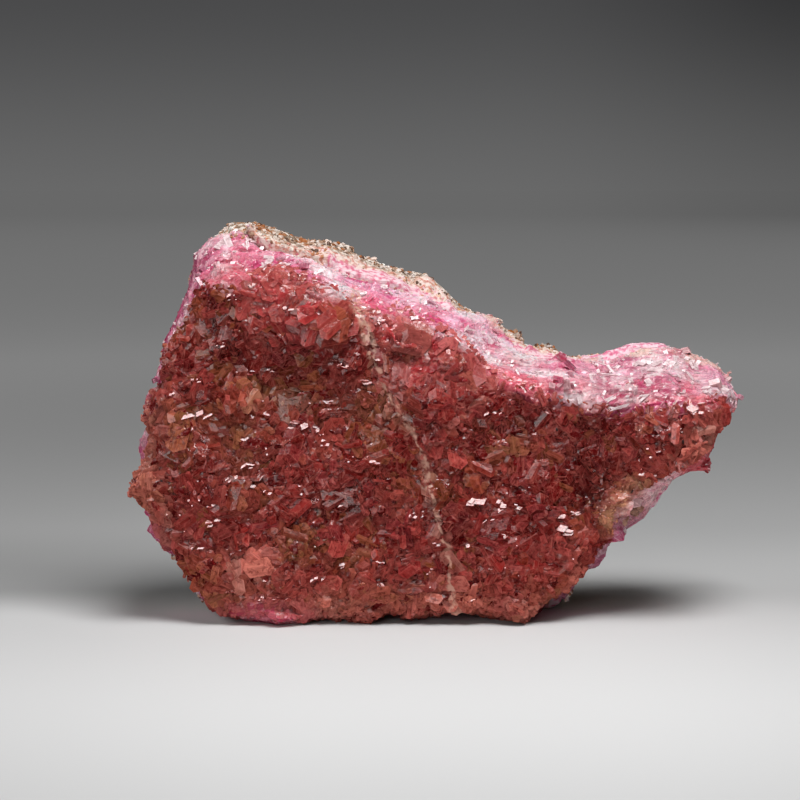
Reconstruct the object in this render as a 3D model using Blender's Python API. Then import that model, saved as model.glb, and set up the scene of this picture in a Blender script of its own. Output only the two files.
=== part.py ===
"""A cabinet specimen of cobaltoan calcite: a thick crust of grown-together crystals on its host rock.

The slab stands on its lower edge. +X runs along its width, +Y from the crystal face to the back,
and +Z up. The origin is on the surface that it stands on, below the middle of its box.
Run it with blender --background --python part.py, or from Blender's text editor.
"""

import math
import random

import bmesh
import bpy
from mathutils import Matrix, Vector, noise

MM = 0.001

# How deep each part of the slab lies, along Y: negative is towards the viewer
FACE_DEPTH = -17.0 * MM
TOP_RIDGE_DEPTH = 4.0 * MM
SIDE_RIDGE_DEPTH = -2.0 * MM
BACK_DEPTH = 14.0 * MM
FACE_DOME = 1.2 * MM
# The middle of the surface where crust meets rock, and the gap that is left between the two there
JOINT_DEPTH = -1.5 * MM
JOINT_GAP = 0.3 * MM

# The calcite rhombs of the crust, and how far apart they sit
CRYSTAL_SIZE = 5.4 * MM
RIM_CRYSTAL_SIZE = 4.2 * MM
CRYSTAL_SPACING = 5.7 * MM
# Rhombs closer than this may touch, so they are never fused in the same layer
CRYSTALS_APART = 4.2 * CRYSTAL_SIZE
# How far a rhomb's tip stands out of the skin, as a share of its size, and how far it may lean
CRYSTAL_STAND = (0.1, 0.34)
RIM_STAND = (0.0, 0.22)
CRYSTAL_TILT = 0.55
CRYSTAL_STRETCH = (0.8, 1.2)
# How far a rhomb's edges lean from its axis, in degrees: the cleavage rhomb, and a flatter one
CLEAVAGE_LEAN = 63.7
FLAT_LEAN = 76.0

# The lumps of the rock's broken top: the hull of a few points on a squashed ball
LUMP_SIZE = 7.0 * MM
LUMP_SPACING = 6.0 * MM
LUMPS_APART = 2.0 * LUMP_SIZE
LUMP_TILT = 0.9
LUMP_POINTS = 9
LUMP_RADIUS = 0.62
LUMP_DEPTH = 0.22
LUMP_SQUASH_SIDE = (0.7, 1.0)
LUMP_SQUASH_UP = (0.5, 0.8)
LUMPS_FROM_BACK = 3.0 * MM

# A rhomb or lump is this much smaller or larger than its size
SIZE_RANGE = (0.75, 1.25)
# Places are tried this many times for each square of the spacing, to fill the surface
TRIES_PER_PLACE = 14

# The skins below the crystals and lumps: the even mesh that they are shaped on, and their facets
SKIN_VOXEL = 1.6 * MM
CRUST_FACETS = 820
ROCK_FACETS = 1300

# Rough surfaces: the wavelength and the height in millimetres, and the seed
JOINT_WAVE = (14.0, 2.0, 11)
CRUST_WAVE = (8.0, 1.3, 3)
BACK_WAVE = (14.0, 3.5, 23)
ROCK_WAVE = (9.0, 1.6, 31)
ROCK_FINE_WAVE = (4.5, 1.0, 29)
# The rock's back is broken in ledges of this height, which are this sharp from 0 to 1
LEDGE_HEIGHT = 2.2 * MM
LEDGE_SHARPNESS = 0.7

# The skins stay this far inside the outline, because the crystals and lumps stand on them
CRUST_INSET = 0.2 * MM
ROCK_INSET = 0.3 * MM
ROCK_INSET_HIDDEN = 1.8 * MM
FLANK_INSET = 0.8 * MM
BACK_INSET = 3.0 * MM
# How far behind the rock's ridge its flank and the edge of its back lie
HIDDEN_RIDGE_BACK = 2.5 * MM
FLANK_BACK = 7.0 * MM
BACK_EDGE_DEPTH = BACK_DEPTH - 2.0 * MM
# The ring inside each end of a skin, as a share of the outline
FACE_RING = 0.5
BACK_RING = 0.6
# How far the crust and the rock run past the joint before they are cut there
CRUST_PAST_JOINT = 4.0 * MM
ROCK_BEFORE_JOINT = 5.0 * MM

# The blocks that cut at the joint and the floor reach this far
JOINT_REACH = 16.0 * MM
BLOCK_REACH = 60.0 * MM
JOINT_RINGS = (0.25, 0.5, 0.75)
FLOOR_SIZE = 300.0 * MM
# The rock's foot: how low the outline must be for it, and how far below the floor its skin goes
FOOT_BELOW = 6.0 * MM
FOOT_DEPTH = 2.6 * MM

# Plain finishes for the file without its render: colour and roughness
CALCITE_FINISH = ((0.42, 0.09, 0.10), 0.25)
ROCK_FINISH = ((0.36, 0.27, 0.20), 0.85)

# The eye that the outline below is seen from, in millimetres
EYE = (-7.2, -459.4, 88.2)
# The slab seen by that eye, in millimetres on the plane of the crystal face. Each row is a point of
# the outline and the point of the crystal face's edge that the same side wall runs back from.
RIM = (
    ((-39.6, 82.0), (-40.5, 70.0)),
    ((-34.8, 80.4), (-34.0, 69.5)),
    ((-27.8, 78.2), (-27.0, 68.0)),
    ((-21.2, 76.4), (-21.5, 66.5)),
    ((-14.2, 73.8), (-15.0, 62.5)),
    ((-7.2, 72.2), (-8.5, 60.5)),
    ((-2.2, 70.6), (-3.5, 58.5)),
    ((2.8, 67.8), (1.0, 56.5)),
    ((6.8, 64.6), (5.0, 54.0)),
    ((10.6, 63.2), (9.0, 51.5)),
    ((14.2, 60.2), (13.0, 50.5)),
    ((16.8, 57.8), (16.5, 49.5)),
    ((21.8, 56.6), (21.5, 49.0)),
    ((26.8, 54.6), (26.0, 47.6)),
    ((32.4, 54.4), (31.5, 46.4)),
    ((36.4, 55.2), (36.0, 45.0)),
    ((40.8, 56.8), (40.0, 45.4)),
    ((47.4, 56.8), (45.0, 46.4)),
    ((51.8, 54.2), (49.0, 45.4)),
    ((56.8, 53.0), (53.4, 44.4)),
    ((60.2, 50.0), (56.8, 43.0)),
    ((60.4, 45.6), (57.6, 41.4)),
    ((58.2, 42.2), (55.8, 39.6)),
    ((56.4, 40.0), (54.0, 37.6)),
    ((55.8, 36.2), (53.0, 34.2)),
    ((53.0, 31.8), (48.8, 31.6)),
    ((48.4, 29.4), (43.4, 30.0)),
    ((45.2, 25.4), (40.0, 27.0)),
    ((42.4, 22.2), (37.0, 24.0)),
    ((38.8, 19.4), (34.4, 21.0)),
    ((34.2, 14.8), (31.6, 16.6)),
    ((32.8, 12.4), (30.6, 13.8)),
    ((28.4, 9.4), (26.4, 10.8)),
    ((24.2, 5.6), (22.4, 7.0)),
    ((21.4, 2.0), (19.4, 3.6)),
    ((19.2, -1.6), (17.6, 0.2)),
    ((14.6, -0.6), (14.2, 1.0)),
    ((10.4, 1.4), (10.4, 2.6)),
    ((6.2, 2.8), (6.2, 4.0)),
    ((0.8, 2.2), (0.8, 3.4)),
    ((-6.0, 1.8), (-6.0, 3.0)),
    ((-11.6, 1.4), (-11.6, 2.8)),
    ((-16.0, 2.4), (-16.0, 3.6)),
    ((-20.6, 0.0), (-20.6, 1.4)),
    ((-25.4, 1.2), (-25.4, 2.4)),
    ((-29.6, -1.4), (-29.6, 0.2)),
    ((-35.6, -1.6), (-35.4, 0.2)),
    ((-41.4, 0.4), (-40.2, 2.0)),
    ((-46.6, 3.0), (-45.0, 4.2)),
    ((-49.0, 7.0), (-47.2, 7.8)),
    ((-48.0, 10.6), (-46.4, 11.6)),
    ((-51.8, 13.2), (-50.0, 14.4)),
    ((-54.8, 16.4), (-53.0, 17.6)),
    ((-57.8, 19.6), (-55.8, 20.6)),
    ((-58.4, 23.0), (-56.4, 23.4)),
    ((-59.8, 27.6), (-57.6, 27.6)),
    ((-58.6, 33.0), (-56.6, 33.0)),
    ((-58.8, 36.8), (-56.8, 36.8)),
    ((-57.2, 43.6), (-55.0, 43.4)),
    ((-56.2, 49.6), (-53.6, 49.4)),
    ((-54.6, 56.0), (-51.6, 55.4)),
    ((-51.8, 61.6), (-48.6, 60.0)),
    ((-49.8, 69.6), (-46.4, 65.4)),
    ((-48.0, 75.0), (-45.4, 68.4)),
    ((-44.2, 79.6), (-43.6, 69.6)),
)
FACE_MIDDLE = (-7.0, 33.0)
# The side wall is the sloping top where the outline stands more than this above the face's edge
TOP_RISE = 4.0
# Stretches of the top, in millimetres along X, where the rock stands above the crust, how far in
# from their ends the band of bare rock reaches its full width, and its width as a share of the wall
ROCK_SHOWS = ((-42.0, 9.0), (13.0, 30.0))
ROCK_RAMP = 5.0
ROCK_SHARE = 0.34

# Swellings and hollows of the crystal face: X and Z of the middle, radius and height, in millimetres
FACE_RELIEF = (
    (-33.0, 61.0, 9.0, 3.0),
    (-22.0, 61.0, 8.0, 2.6),
    (-30.0, 49.0, 12.0, -2.6),
    (3.0, 50.0, 11.0, 2.2),
    (-13.0, 52.0, 6.0, -1.4),
    (30.0, 31.0, 13.0, -2.4),
    (-44.0, 26.0, 12.0, 1.6),
    (-33.0, 9.0, 10.0, 1.6),
    (8.0, 18.0, 14.0, 1.4),
    (46.0, 38.0, 8.0, 1.2),
)
BACK_RELIEF = (
    (-36.0, 58.0, 16.0, -4.0),
    (-20.0, 26.0, 22.0, 3.4),
    (22.0, 30.0, 16.0, 2.6),
    (40.0, 42.0, 12.0, -3.0),
    (4.0, 58.0, 12.0, -2.2),
)


def relief(x, z, bumps):
    """Sum of round bumps, each falling off as a bell curve, in metres."""
    return sum(
        height * math.exp(-((x / MM - bx) ** 2 + (z / MM - bz) ** 2) / radius**2)
        for bx, bz, radius, height in bumps
    ) * MM


def roughness(point, wave):
    """Smooth noise at a point, with the wavelength, height and seed of the wave."""
    wavelength, height, seed = wave
    return height * MM * noise.noise(Vector(point) / (wavelength * MM) + Vector((seed, 2 * seed, 0)))


def is_top(row):
    """True where the side wall faces up, so that it is the sloping top of the slab."""
    (_, z_out), (_, z_face) = row
    return z_out - z_face > TOP_RISE


def ridge_depth(row):
    return TOP_RIDGE_DEPTH if is_top(row) else SIDE_RIDGE_DEPTH


def rock_band(row):
    """How wide the band of bare rock is at this part of the outline: 0 for none, 1 for full width."""
    x = row[0][0]
    inside = max(min(x - low, high - x) for low, high in ROCK_SHOWS)
    return max(0.0, min(1.0, inside / ROCK_RAMP)) if is_top(row) else 0.0


def joint_share(row):
    """How far back along the side wall the crust ends: 0 at the face's edge, 1 at the outline."""
    return 1.0 - ROCK_SHARE * rock_band(row)


def at_depth(x, z, y):
    """The point at depth y on the line of sight that crosses the plane of the face at x, z."""
    eye = Vector(EYE) * MM
    on_face = Vector((x, FACE_DEPTH, z))
    return eye + (on_face - eye) * (y - eye.y) / (FACE_DEPTH - eye.y)


def wall_point(row, share, inward=0.0):
    """The point at a share of the way from the face's edge to the outline, moved towards the middle."""
    (x_out, z_out), (x_face, z_face) = row
    x = (x_face + (x_out - x_face) * share) * MM
    z = (z_face + (z_out - z_face) * share) * MM
    y = FACE_DEPTH + (ridge_depth(row) - FACE_DEPTH) * share
    middle = Vector((FACE_MIDDLE[0] * MM, y, FACE_MIDDLE[1] * MM))
    point = at_depth(x, z, y)
    return point + (middle - point).normalized() * inward


def towards_middle(points, share, depth):
    """A ring of the points drawn towards the middle of the slab, at a depth worked out for each."""
    middle = Vector((FACE_MIDDLE[0] * MM, 0, FACE_MIDDLE[1] * MM))
    ring = []
    for p in points:
        q = middle + (p - middle) * share
        ring.append(Vector((q.x, depth(q.x, q.z, p.y, share), q.z)))
    return ring


def skin(rings):
    """A closed mesh through rings with the same number of points, closed by a fan at each end."""
    made = bmesh.new()
    loops = [[made.verts.new(p) for p in ring] for ring in rings]
    count = len(rings[0])
    for first, second in zip(loops, loops[1:]):
        for i in range(count):
            j = (i + 1) % count
            # Always the same diagonal, so that two skins through the same rings match
            made.faces.new((first[i], first[j], second[j]))
            made.faces.new((first[i], second[j], second[i]))
    for loop in (loops[0], loops[-1]):
        tip = made.verts.new(sum((v.co for v in loop), Vector()) / count)
        for i in range(count):
            made.faces.new((loop[i], loop[(i + 1) % count], tip))
    bmesh.ops.recalc_face_normals(made, faces=made.faces)
    return made


def object_from(made, name):
    """A new object in the scene that holds the bmesh, which is freed."""
    mesh = bpy.data.meshes.new(name)
    made.to_mesh(mesh)
    made.free()
    thing = bpy.data.objects.new(name, mesh)
    bpy.context.scene.collection.objects.link(thing)
    return thing


def joint_depth(x, z, edge_depth, share):
    """The surface where crust meets rock: the wall's own depth at the edge, gently rolling inside."""
    inner = JOINT_DEPTH + roughness((x, 0, z), JOINT_WAVE)
    return edge_depth * share**2 + inner * (1 - share**2)


def faceted(thing, facets, shape):
    """Gives a skin an even mesh, moves each point of it, and leaves it as a number of flat facets."""
    even = thing.modifiers.new("even", "REMESH")
    even.mode = "VOXEL"
    even.voxel_size = SKIN_VOXEL
    baked(thing, [])
    normals = [v.normal.copy() for v in thing.data.vertices]
    for v, normal in zip(thing.data.vertices, normals):
        v.co += shape(v.co, normal)
    collapse = thing.modifiers.new("facets", "DECIMATE")
    collapse.ratio = facets / len(thing.data.polygons)
    baked(thing, [])
    return thing


def crust_relief(point, normal):
    """How far a point of the crust's skin moves: the face's swellings and hollows, and roughness."""
    front = max(0.0, -normal.y) ** 2
    swelling = relief(point.x, point.z, FACE_RELIEF) * front
    return normal * roughness(point, CRUST_WAVE) + Vector((0, -swelling, 0))


def rock_relief(point, normal):
    """How far a point of the rock's skin moves: rough all over, and broken in ledges on the back."""
    back = max(0.0, normal.y) ** 2
    swelling = relief(point.x, point.z, BACK_RELIEF) + roughness(point, BACK_WAVE)
    step = LEDGE_HEIGHT * round(swelling / LEDGE_HEIGHT)
    ledged = swelling + LEDGE_SHARPNESS * (step - swelling)
    rough = roughness(point, ROCK_WAVE) + roughness(point, ROCK_FINE_WAVE)
    return normal * rough + Vector((0, ledged * back, 0))


def crust_body():
    """The crust without its crystals, running a little past the joint, where it is cut."""
    past_joint = Vector((0, CRUST_PAST_JOINT, 0))
    edge = [wall_point(row, 0.0, CRUST_INSET) for row in RIM]
    middle = [wall_point(row, joint_share(row) / 2, CRUST_INSET) for row in RIM]
    joint = [wall_point(row, joint_share(row), CRUST_INSET) for row in RIM]
    last = [p + past_joint for p in joint]
    front = towards_middle(edge, FACE_RING, lambda x, z, y, share: y - FACE_DOME)
    behind = towards_middle(last, FACE_RING, lambda x, z, y, share: y)
    rings = [front, edge, middle, joint, last, behind]
    return faceted(object_from(skin(rings), "calcite_crust"), CRUST_FACETS, crust_relief)


def rock_body():
    """The rock behind the joint, running a little in front of it, where it is cut."""
    before_joint = Vector((0, -ROCK_BEFORE_JOINT, 0))
    joint, ridge, flank, back = [], [], [], []
    for row in RIM:
        # The rock stands almost as high as the outline where it shows, and is hidden elsewhere
        hidden = 1.0 - rock_band(row)
        inset = ROCK_INSET + (ROCK_INSET_HIDDEN - ROCK_INSET) * hidden
        joint.append(wall_point(row, joint_share(row), inset))
        top = wall_point(row, 1.0, inset) + Vector((0, HIDDEN_RIDGE_BACK * hidden, 0))
        side = wall_point(row, 1.0, inset + FLANK_INSET) + Vector((0, FLANK_BACK, 0))
        end = wall_point(row, 1.0, inset + BACK_INSET)
        end.y = BACK_EDGE_DEPTH
        if row[0][1] * MM < FOOT_BELOW:
            for p in (top, side, end):
                p.z = -FOOT_DEPTH
        ridge.append(top)
        flank.append(side)
        back.append(end)
    first = [p + before_joint for p in joint]
    front = towards_middle(first, FACE_RING, lambda x, z, y, share: y)
    last = towards_middle(back, BACK_RING, lambda x, z, y, share: BACK_DEPTH)
    rings = [front, first, joint, ridge, flank, back, last]
    return faceted(object_from(skin(rings), "host_rock"), ROCK_FACETS, rock_relief)


def joint_block(side):
    """A block that fills the space behind the joint (side 1) or in front of it (side -1)."""
    shift = Vector((0, -side * JOINT_GAP / 2, 0))
    edge = [wall_point(row, joint_share(row)) for row in RIM]
    middle = Vector((FACE_MIDDLE[0] * MM, 0, FACE_MIDDLE[1] * MM))
    outer = []
    for p in edge:
        out = Vector((p.x - middle.x, 0, p.z - middle.z)).normalized() * JOINT_REACH
        outer.append(p + out)
    rings = [towards_middle(edge, share, joint_depth) for share in JOINT_RINGS]
    rings = [[p + shift for p in ring] for ring in rings + [edge, outer]]
    rings.append([Vector((p.x, side * BLOCK_REACH, p.z)) for p in outer])
    return helper(object_from(skin(rings), "joint_block"))


def floor_block():
    """A block below the surface that the specimen stands on."""
    made = bmesh.new()
    below = Matrix.Translation((0, 0, -FLOOR_SIZE / 2))
    bmesh.ops.create_cube(made, size=FLOOR_SIZE, matrix=below)
    return helper(object_from(made, "floor_block"))


def helper(thing):
    """Marks an object that only cuts or guides, so that it is no part of the specimen."""
    thing.hide_render = True
    thing.display_type = "WIRE"
    return thing


def faces_front(normal):
    return normal.y < -0.75


def faces_joint(normal):
    return normal.y > 0.75


def rhomb_edges(lean):
    """The three edges of length 1 at a rhomb's blunt corner, each leaning away from the +Z axis."""
    return [
        Vector((math.sin(lean) * math.cos(a), math.sin(lean) * math.sin(a), math.cos(lean)))
        for a in (0, math.tau / 3, 2 * math.tau / 3)
    ]


def turned_to(direction, tilt, rng):
    """A rotation that takes +Z to a direction drawn from around the given one."""
    towards = Vector((rng.gauss(0, 1), rng.gauss(0, 1), rng.gauss(0, 1))).normalized()
    leant = direction.normalized() + towards * math.tan(tilt)
    spin = Matrix.Rotation(rng.uniform(0, math.tau), 3, "Z")
    return leant.to_track_quat("Z", "Y").to_matrix() @ spin


def add_rhomb(made, place, normal, size, rng):
    """One calcite rhomb with flat faces, its blunt corner pointing roughly out of the surface."""
    lean = math.radians(rng.uniform(CLEAVAGE_LEAN, FLAT_LEAN))
    turn = turned_to(normal, rng.uniform(0, CRYSTAL_TILT), rng)
    edges = [turn @ e * size * rng.uniform(*CRYSTAL_STRETCH) for e in rhomb_edges(lean)]
    stand = CRYSTAL_STAND if faces_front(normal) else RIM_STAND
    tip = place + normal * size * rng.uniform(*stand)
    corners = {}
    for a in (0, 1):
        for b in (0, 1):
            for c in (0, 1):
                corners[a, b, c] = made.verts.new(tip - edges[0] * a - edges[1] * b - edges[2] * c)
    faces = [
        made.faces.new([corners[k] for k in loop])
        for loop in (
            ((0, 0, 0), (0, 1, 0), (1, 1, 0), (1, 0, 0)),
            ((0, 0, 1), (1, 0, 1), (1, 1, 1), (0, 1, 1)),
            ((0, 0, 0), (1, 0, 0), (1, 0, 1), (0, 0, 1)),
            ((0, 1, 0), (0, 1, 1), (1, 1, 1), (1, 1, 0)),
            ((0, 0, 0), (0, 0, 1), (0, 1, 1), (0, 1, 0)),
            ((1, 0, 0), (1, 1, 0), (1, 1, 1), (1, 0, 1)),
        )
    ]
    bmesh.ops.recalc_face_normals(made, faces=faces)


def add_lump(made, place, normal, size, rng):
    """One angular lump of rock, most of it sunk in the surface."""
    turn = turned_to(normal, rng.uniform(0, LUMP_TILT), rng)
    centre = place - normal * size * LUMP_DEPTH
    points = []
    for _ in range(LUMP_POINTS):
        p = Vector((rng.gauss(0, 1), rng.gauss(0, 1), rng.gauss(0, 1))).normalized()
        p.y *= rng.uniform(*LUMP_SQUASH_SIDE)
        p.z *= rng.uniform(*LUMP_SQUASH_UP)
        points.append(made.verts.new(centre + turn @ p * size * LUMP_RADIUS))
    hull = bmesh.ops.convex_hull(made, input=points)
    inside = [v for v in hull["geom_interior"] if isinstance(v, bmesh.types.BMVert)]
    bmesh.ops.delete(made, geom=inside, context="VERTS")


def scattered(body, spacing, wanted, rng):
    """Places on a body's surface at least a spacing apart, each with its outward normal."""
    mesh = body.data
    mesh.calc_loop_triangles()
    triangles = [t for t in mesh.loop_triangles if wanted(t.center, t.normal)]
    areas = [t.area for t in triangles]
    tries = int(TRIES_PER_PLACE * sum(areas) / spacing**2)
    cells, places = {}, []
    for t in rng.choices(triangles, weights=areas, k=tries):
        a, b, c = (mesh.vertices[i].co for i in t.vertices)
        u, v = rng.random(), rng.random()
        if u + v > 1:
            u, v = 1 - u, 1 - v
        p = a + (b - a) * u + (c - a) * v
        cell = tuple(math.floor(k / spacing) for k in p)
        near = (
            q
            for i in (-1, 0, 1)
            for j in (-1, 0, 1)
            for k in (-1, 0, 1)
            for q in cells.get((cell[0] + i, cell[1] + j, cell[2] + k), ())
        )
        if all((p - q).length > spacing for q in near):
            cells.setdefault(cell, []).append(p)
            places.append((p, t.normal.copy()))
    return places


def layers_of(places, apart):
    """The places in layers, so that those closer than this are never in the same one."""
    layers = []
    for place, normal in places:
        for layer in layers:
            if all((place - other).length > apart for other, _ in layer):
                layer.append((place, normal))
                break
        else:
            layers.append([(place, normal)])
    return layers


def boolean(body, operation, tool):
    """Joins the tool to the body or takes it away. EXACT leaves open edges in a druse this dense."""
    step = body.modifiers.new(operation.lower(), "BOOLEAN")
    step.operation = operation
    step.object = tool
    step.solver = "MANIFOLD"


def fuse_onto(body, places, size, apart, add, rng):
    """Joins one shape at each place to the body, a layer of shapes that don't touch at a time."""
    tools = []
    for layer in layers_of(places, apart):
        made = bmesh.new()
        for place, normal in layer:
            add(made, place, normal, size(normal) * rng.uniform(*SIZE_RANGE), rng)
        tool = helper(object_from(made, "layer"))
        boolean(body, "UNION", tool)
        tools.append(tool)
    return tools


def baked(body, helpers):
    """Applies the body's modifiers, drops loose shells left inside it, and removes the helpers."""
    bpy.context.view_layer.update()
    evaluated = body.evaluated_get(bpy.context.evaluated_depsgraph_get())
    made = bmesh.new()
    made.from_mesh(evaluated.to_mesh())
    evaluated.to_mesh_clear()
    keep_largest(made)
    bmesh.ops.triangulate(made, faces=made.faces)
    body.modifiers.clear()
    made.to_mesh(body.data)
    made.free()
    for thing in helpers:
        bpy.data.objects.remove(thing)


def keep_largest(made):
    """Deletes every shell but the one with the most faces. Shells that share one corner are apart."""
    unseen, shells = set(made.faces), []
    while unseen:
        start = unseen.pop()
        shell, front = [start], [start]
        while front:
            for edge in front.pop().edges:
                for face in edge.link_faces:
                    if face in unseen:
                        unseen.discard(face)
                        shell.append(face)
                        front.append(face)
        shells.append(shell)
    shells.sort(key=len)
    for shell in shells[:-1]:
        bmesh.ops.delete(made, geom=shell, context="FACES")


def grow_crystals(body):
    """Fuses the druse of calcite rhombs to the face, the sloping top and the sides of the crust."""
    rng = random.Random(43)

    def on_crust(point, normal):
        return not faces_joint(normal)

    def size(normal):
        return CRYSTAL_SIZE if faces_front(normal) else RIM_CRYSTAL_SIZE

    places = scattered(body, CRYSTAL_SPACING, on_crust, rng)
    return fuse_onto(body, places, size, CRYSTALS_APART, add_rhomb, rng)


def roughen_rock(body):
    """Fuses angular lumps to the rock's broken top."""
    rng = random.Random(97)

    def on_rock(point, normal):
        faces_up = normal.z > 0.25 and abs(normal.y) < 0.85
        return faces_up and point.y < BACK_DEPTH - LUMPS_FROM_BACK

    def size(normal):
        return LUMP_SIZE

    places = scattered(body, LUMP_SPACING, on_rock, rng)
    return fuse_onto(body, places, size, LUMPS_APART, add_lump, rng)


def finish(thing, colour, dullness):
    """Gives an object its own material and flat shading."""
    material = bpy.data.materials.new(thing.name)
    material.use_nodes = True
    shader = material.node_tree.nodes["Principled BSDF"]
    shader.inputs["Base Color"].default_value = (*colour, 1.0)
    shader.inputs["Roughness"].default_value = dullness
    shader.inputs["Metallic"].default_value = 0.0
    material.diffuse_color = (*colour, 1.0)
    thing.data.materials.clear()
    thing.data.materials.append(material)
    for face in thing.data.polygons:
        face.use_smooth = False


def centre(things):
    """Moves the specimen so that its box's middle is over the origin and its foot is at zero."""
    corners = [v.co for thing in things for v in thing.data.vertices]
    low = [min(c[k] for c in corners) for k in range(3)]
    high = [max(c[k] for c in corners) for k in range(3)]
    shift = Vector((-(low[0] + high[0]) / 2, -(low[1] + high[1]) / 2, -low[2]))
    for thing in things:
        thing.data.transform(Matrix.Translation(shift))


def main():
    for thing in list(bpy.data.objects):
        bpy.data.objects.remove(thing)
    floor = floor_block()

    crust = crust_body()
    crystals = grow_crystals(crust)
    behind = joint_block(1)
    boolean(crust, "DIFFERENCE", behind)
    boolean(crust, "DIFFERENCE", floor)
    baked(crust, [*crystals, behind])

    rock = rock_body()
    lumps = roughen_rock(rock)
    ahead = joint_block(-1)
    boolean(rock, "DIFFERENCE", ahead)
    boolean(rock, "DIFFERENCE", floor)
    baked(rock, [*lumps, ahead, floor])

    centre([crust, rock])
    finish(crust, *CALCITE_FINISH)
    finish(rock, *ROCK_FINISH)


main()
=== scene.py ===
# %% [markdown]
# # A cobaltoan calcite specimen, built as a lesson
#
# The real object is a hand-sized slab: a thick crust of translucent red calcite crystals, pink
# where it is broken along the top, still on the brown rock that it grew on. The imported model
# gives its two solids. This file dresses them: it grows thousands of small crystals on them as
# joined meshes worked out with numpy, and gives each surface its finish.

import bpy
import numpy as np
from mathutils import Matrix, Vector


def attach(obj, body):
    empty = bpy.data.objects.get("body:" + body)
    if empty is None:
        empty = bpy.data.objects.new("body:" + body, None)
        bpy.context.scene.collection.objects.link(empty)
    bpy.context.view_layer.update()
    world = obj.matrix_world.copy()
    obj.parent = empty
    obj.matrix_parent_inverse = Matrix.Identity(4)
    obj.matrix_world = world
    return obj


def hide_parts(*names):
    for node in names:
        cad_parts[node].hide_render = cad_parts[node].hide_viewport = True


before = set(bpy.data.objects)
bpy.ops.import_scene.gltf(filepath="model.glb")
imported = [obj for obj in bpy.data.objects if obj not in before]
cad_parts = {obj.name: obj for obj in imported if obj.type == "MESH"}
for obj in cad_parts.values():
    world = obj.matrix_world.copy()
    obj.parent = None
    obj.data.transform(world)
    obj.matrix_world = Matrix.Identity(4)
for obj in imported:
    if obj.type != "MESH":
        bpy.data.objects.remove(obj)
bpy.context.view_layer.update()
MM = 0.001

# %% [markdown]
# ## The camera
#
# The photo is taken almost level with the slab, from a few slab widths away. A long lens of
# 100 mm from 0.44 m gives the same narrow view. Places on the front face are easiest to name by
# where they are seen, so a helper turns a place into a column and row of the 800 by 800 picture.

# %% Camera
FACE_SHIFT = (-0.9, 1.7)
FACE_DEPTH = -17.0
AIM = (-7.2, 45.6)
ELEVATION = np.radians(5.5)
DISTANCE = 0.4444

scene = bpy.context.scene


def linked(name, data):
    """A new object in the scene."""
    thing = bpy.data.objects.new(name, data)
    scene.collection.objects.link(thing)
    return thing


aim = Vector((FACE_SHIFT[0] + AIM[0], FACE_SHIFT[1] + FACE_DEPTH, AIM[1])) * MM
lens = bpy.data.cameras.new("camera")
lens.lens = 100.0
lens.sensor_width = 36.0
camera = linked("camera", lens)
camera.location = aim + Vector((0.0, -np.cos(ELEVATION), np.sin(ELEVATION))) * DISTANCE
camera.rotation_euler = (aim - camera.location).to_track_quat("-Z", "Y").to_euler()
scene.camera = camera
EYE = np.array(camera.location)
print("the camera is at", EYE.round(3))

# %% Where a place is seen
PIXEL = 0.2
PICTURE_SIZE = 800
PICTURE_MIDDLE = 436.0
PICTURE_FLOOR = 628.0
FOCAL = lens.lens / lens.sensor_width * PICTURE_SIZE


def seen_at(points):
    """Picture column and row of points: 436 + x / 0.2 mm and 628 - z / 0.2 mm, on the front face."""
    column = PICTURE_MIDDLE + (points[:, 0] / MM - FACE_SHIFT[0]) / PIXEL
    row = PICTURE_FLOOR - points[:, 2] / MM / PIXEL
    return column, row


def projected(points):
    """Picture column and row at any depth: 400 + f x / d and 400 - f y / d in the camera's axes."""
    way = points - EYE
    forward = way @ (0.0, np.cos(ELEVATION), -np.sin(ELEVATION))
    upward = way @ (0.0, np.sin(ELEVATION), np.cos(ELEVATION))
    middle = PICTURE_SIZE / 2
    return middle + FOCAL * way[:, 0] / forward, middle - FOCAL * upward / forward


print("the camera looks at column and row", *(round(v[0]) for v in projected(np.array([aim]))))

# %% [markdown]
# ## Shader maths in Python
#
# A finish is a tree of nodes. Written out node by node it is hard to read, so two small classes
# help: a Value wraps a socket and turns +, -, * and / into Math nodes, and a Tree adds any
# other node from its kind, its settings and what goes into its sockets.

# %% Values and trees
class Value:
    """A number that changes over a surface. Python's operators on it add Math nodes."""

    def __init__(self, tree, socket):
        self.tree = tree
        self.socket = socket

    def __add__(self, other):
        return self.tree.maths("ADD", self, other)

    def __sub__(self, other):
        return self.tree.maths("SUBTRACT", self, other)

    def __rsub__(self, other):
        return self.tree.maths("SUBTRACT", other, self)

    def __mul__(self, other):
        return self.tree.maths("MULTIPLY", self, other)

    def __truediv__(self, other):
        return self.tree.maths("DIVIDE", self, other)

    __radd__ = __add__
    __rmul__ = __mul__


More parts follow.
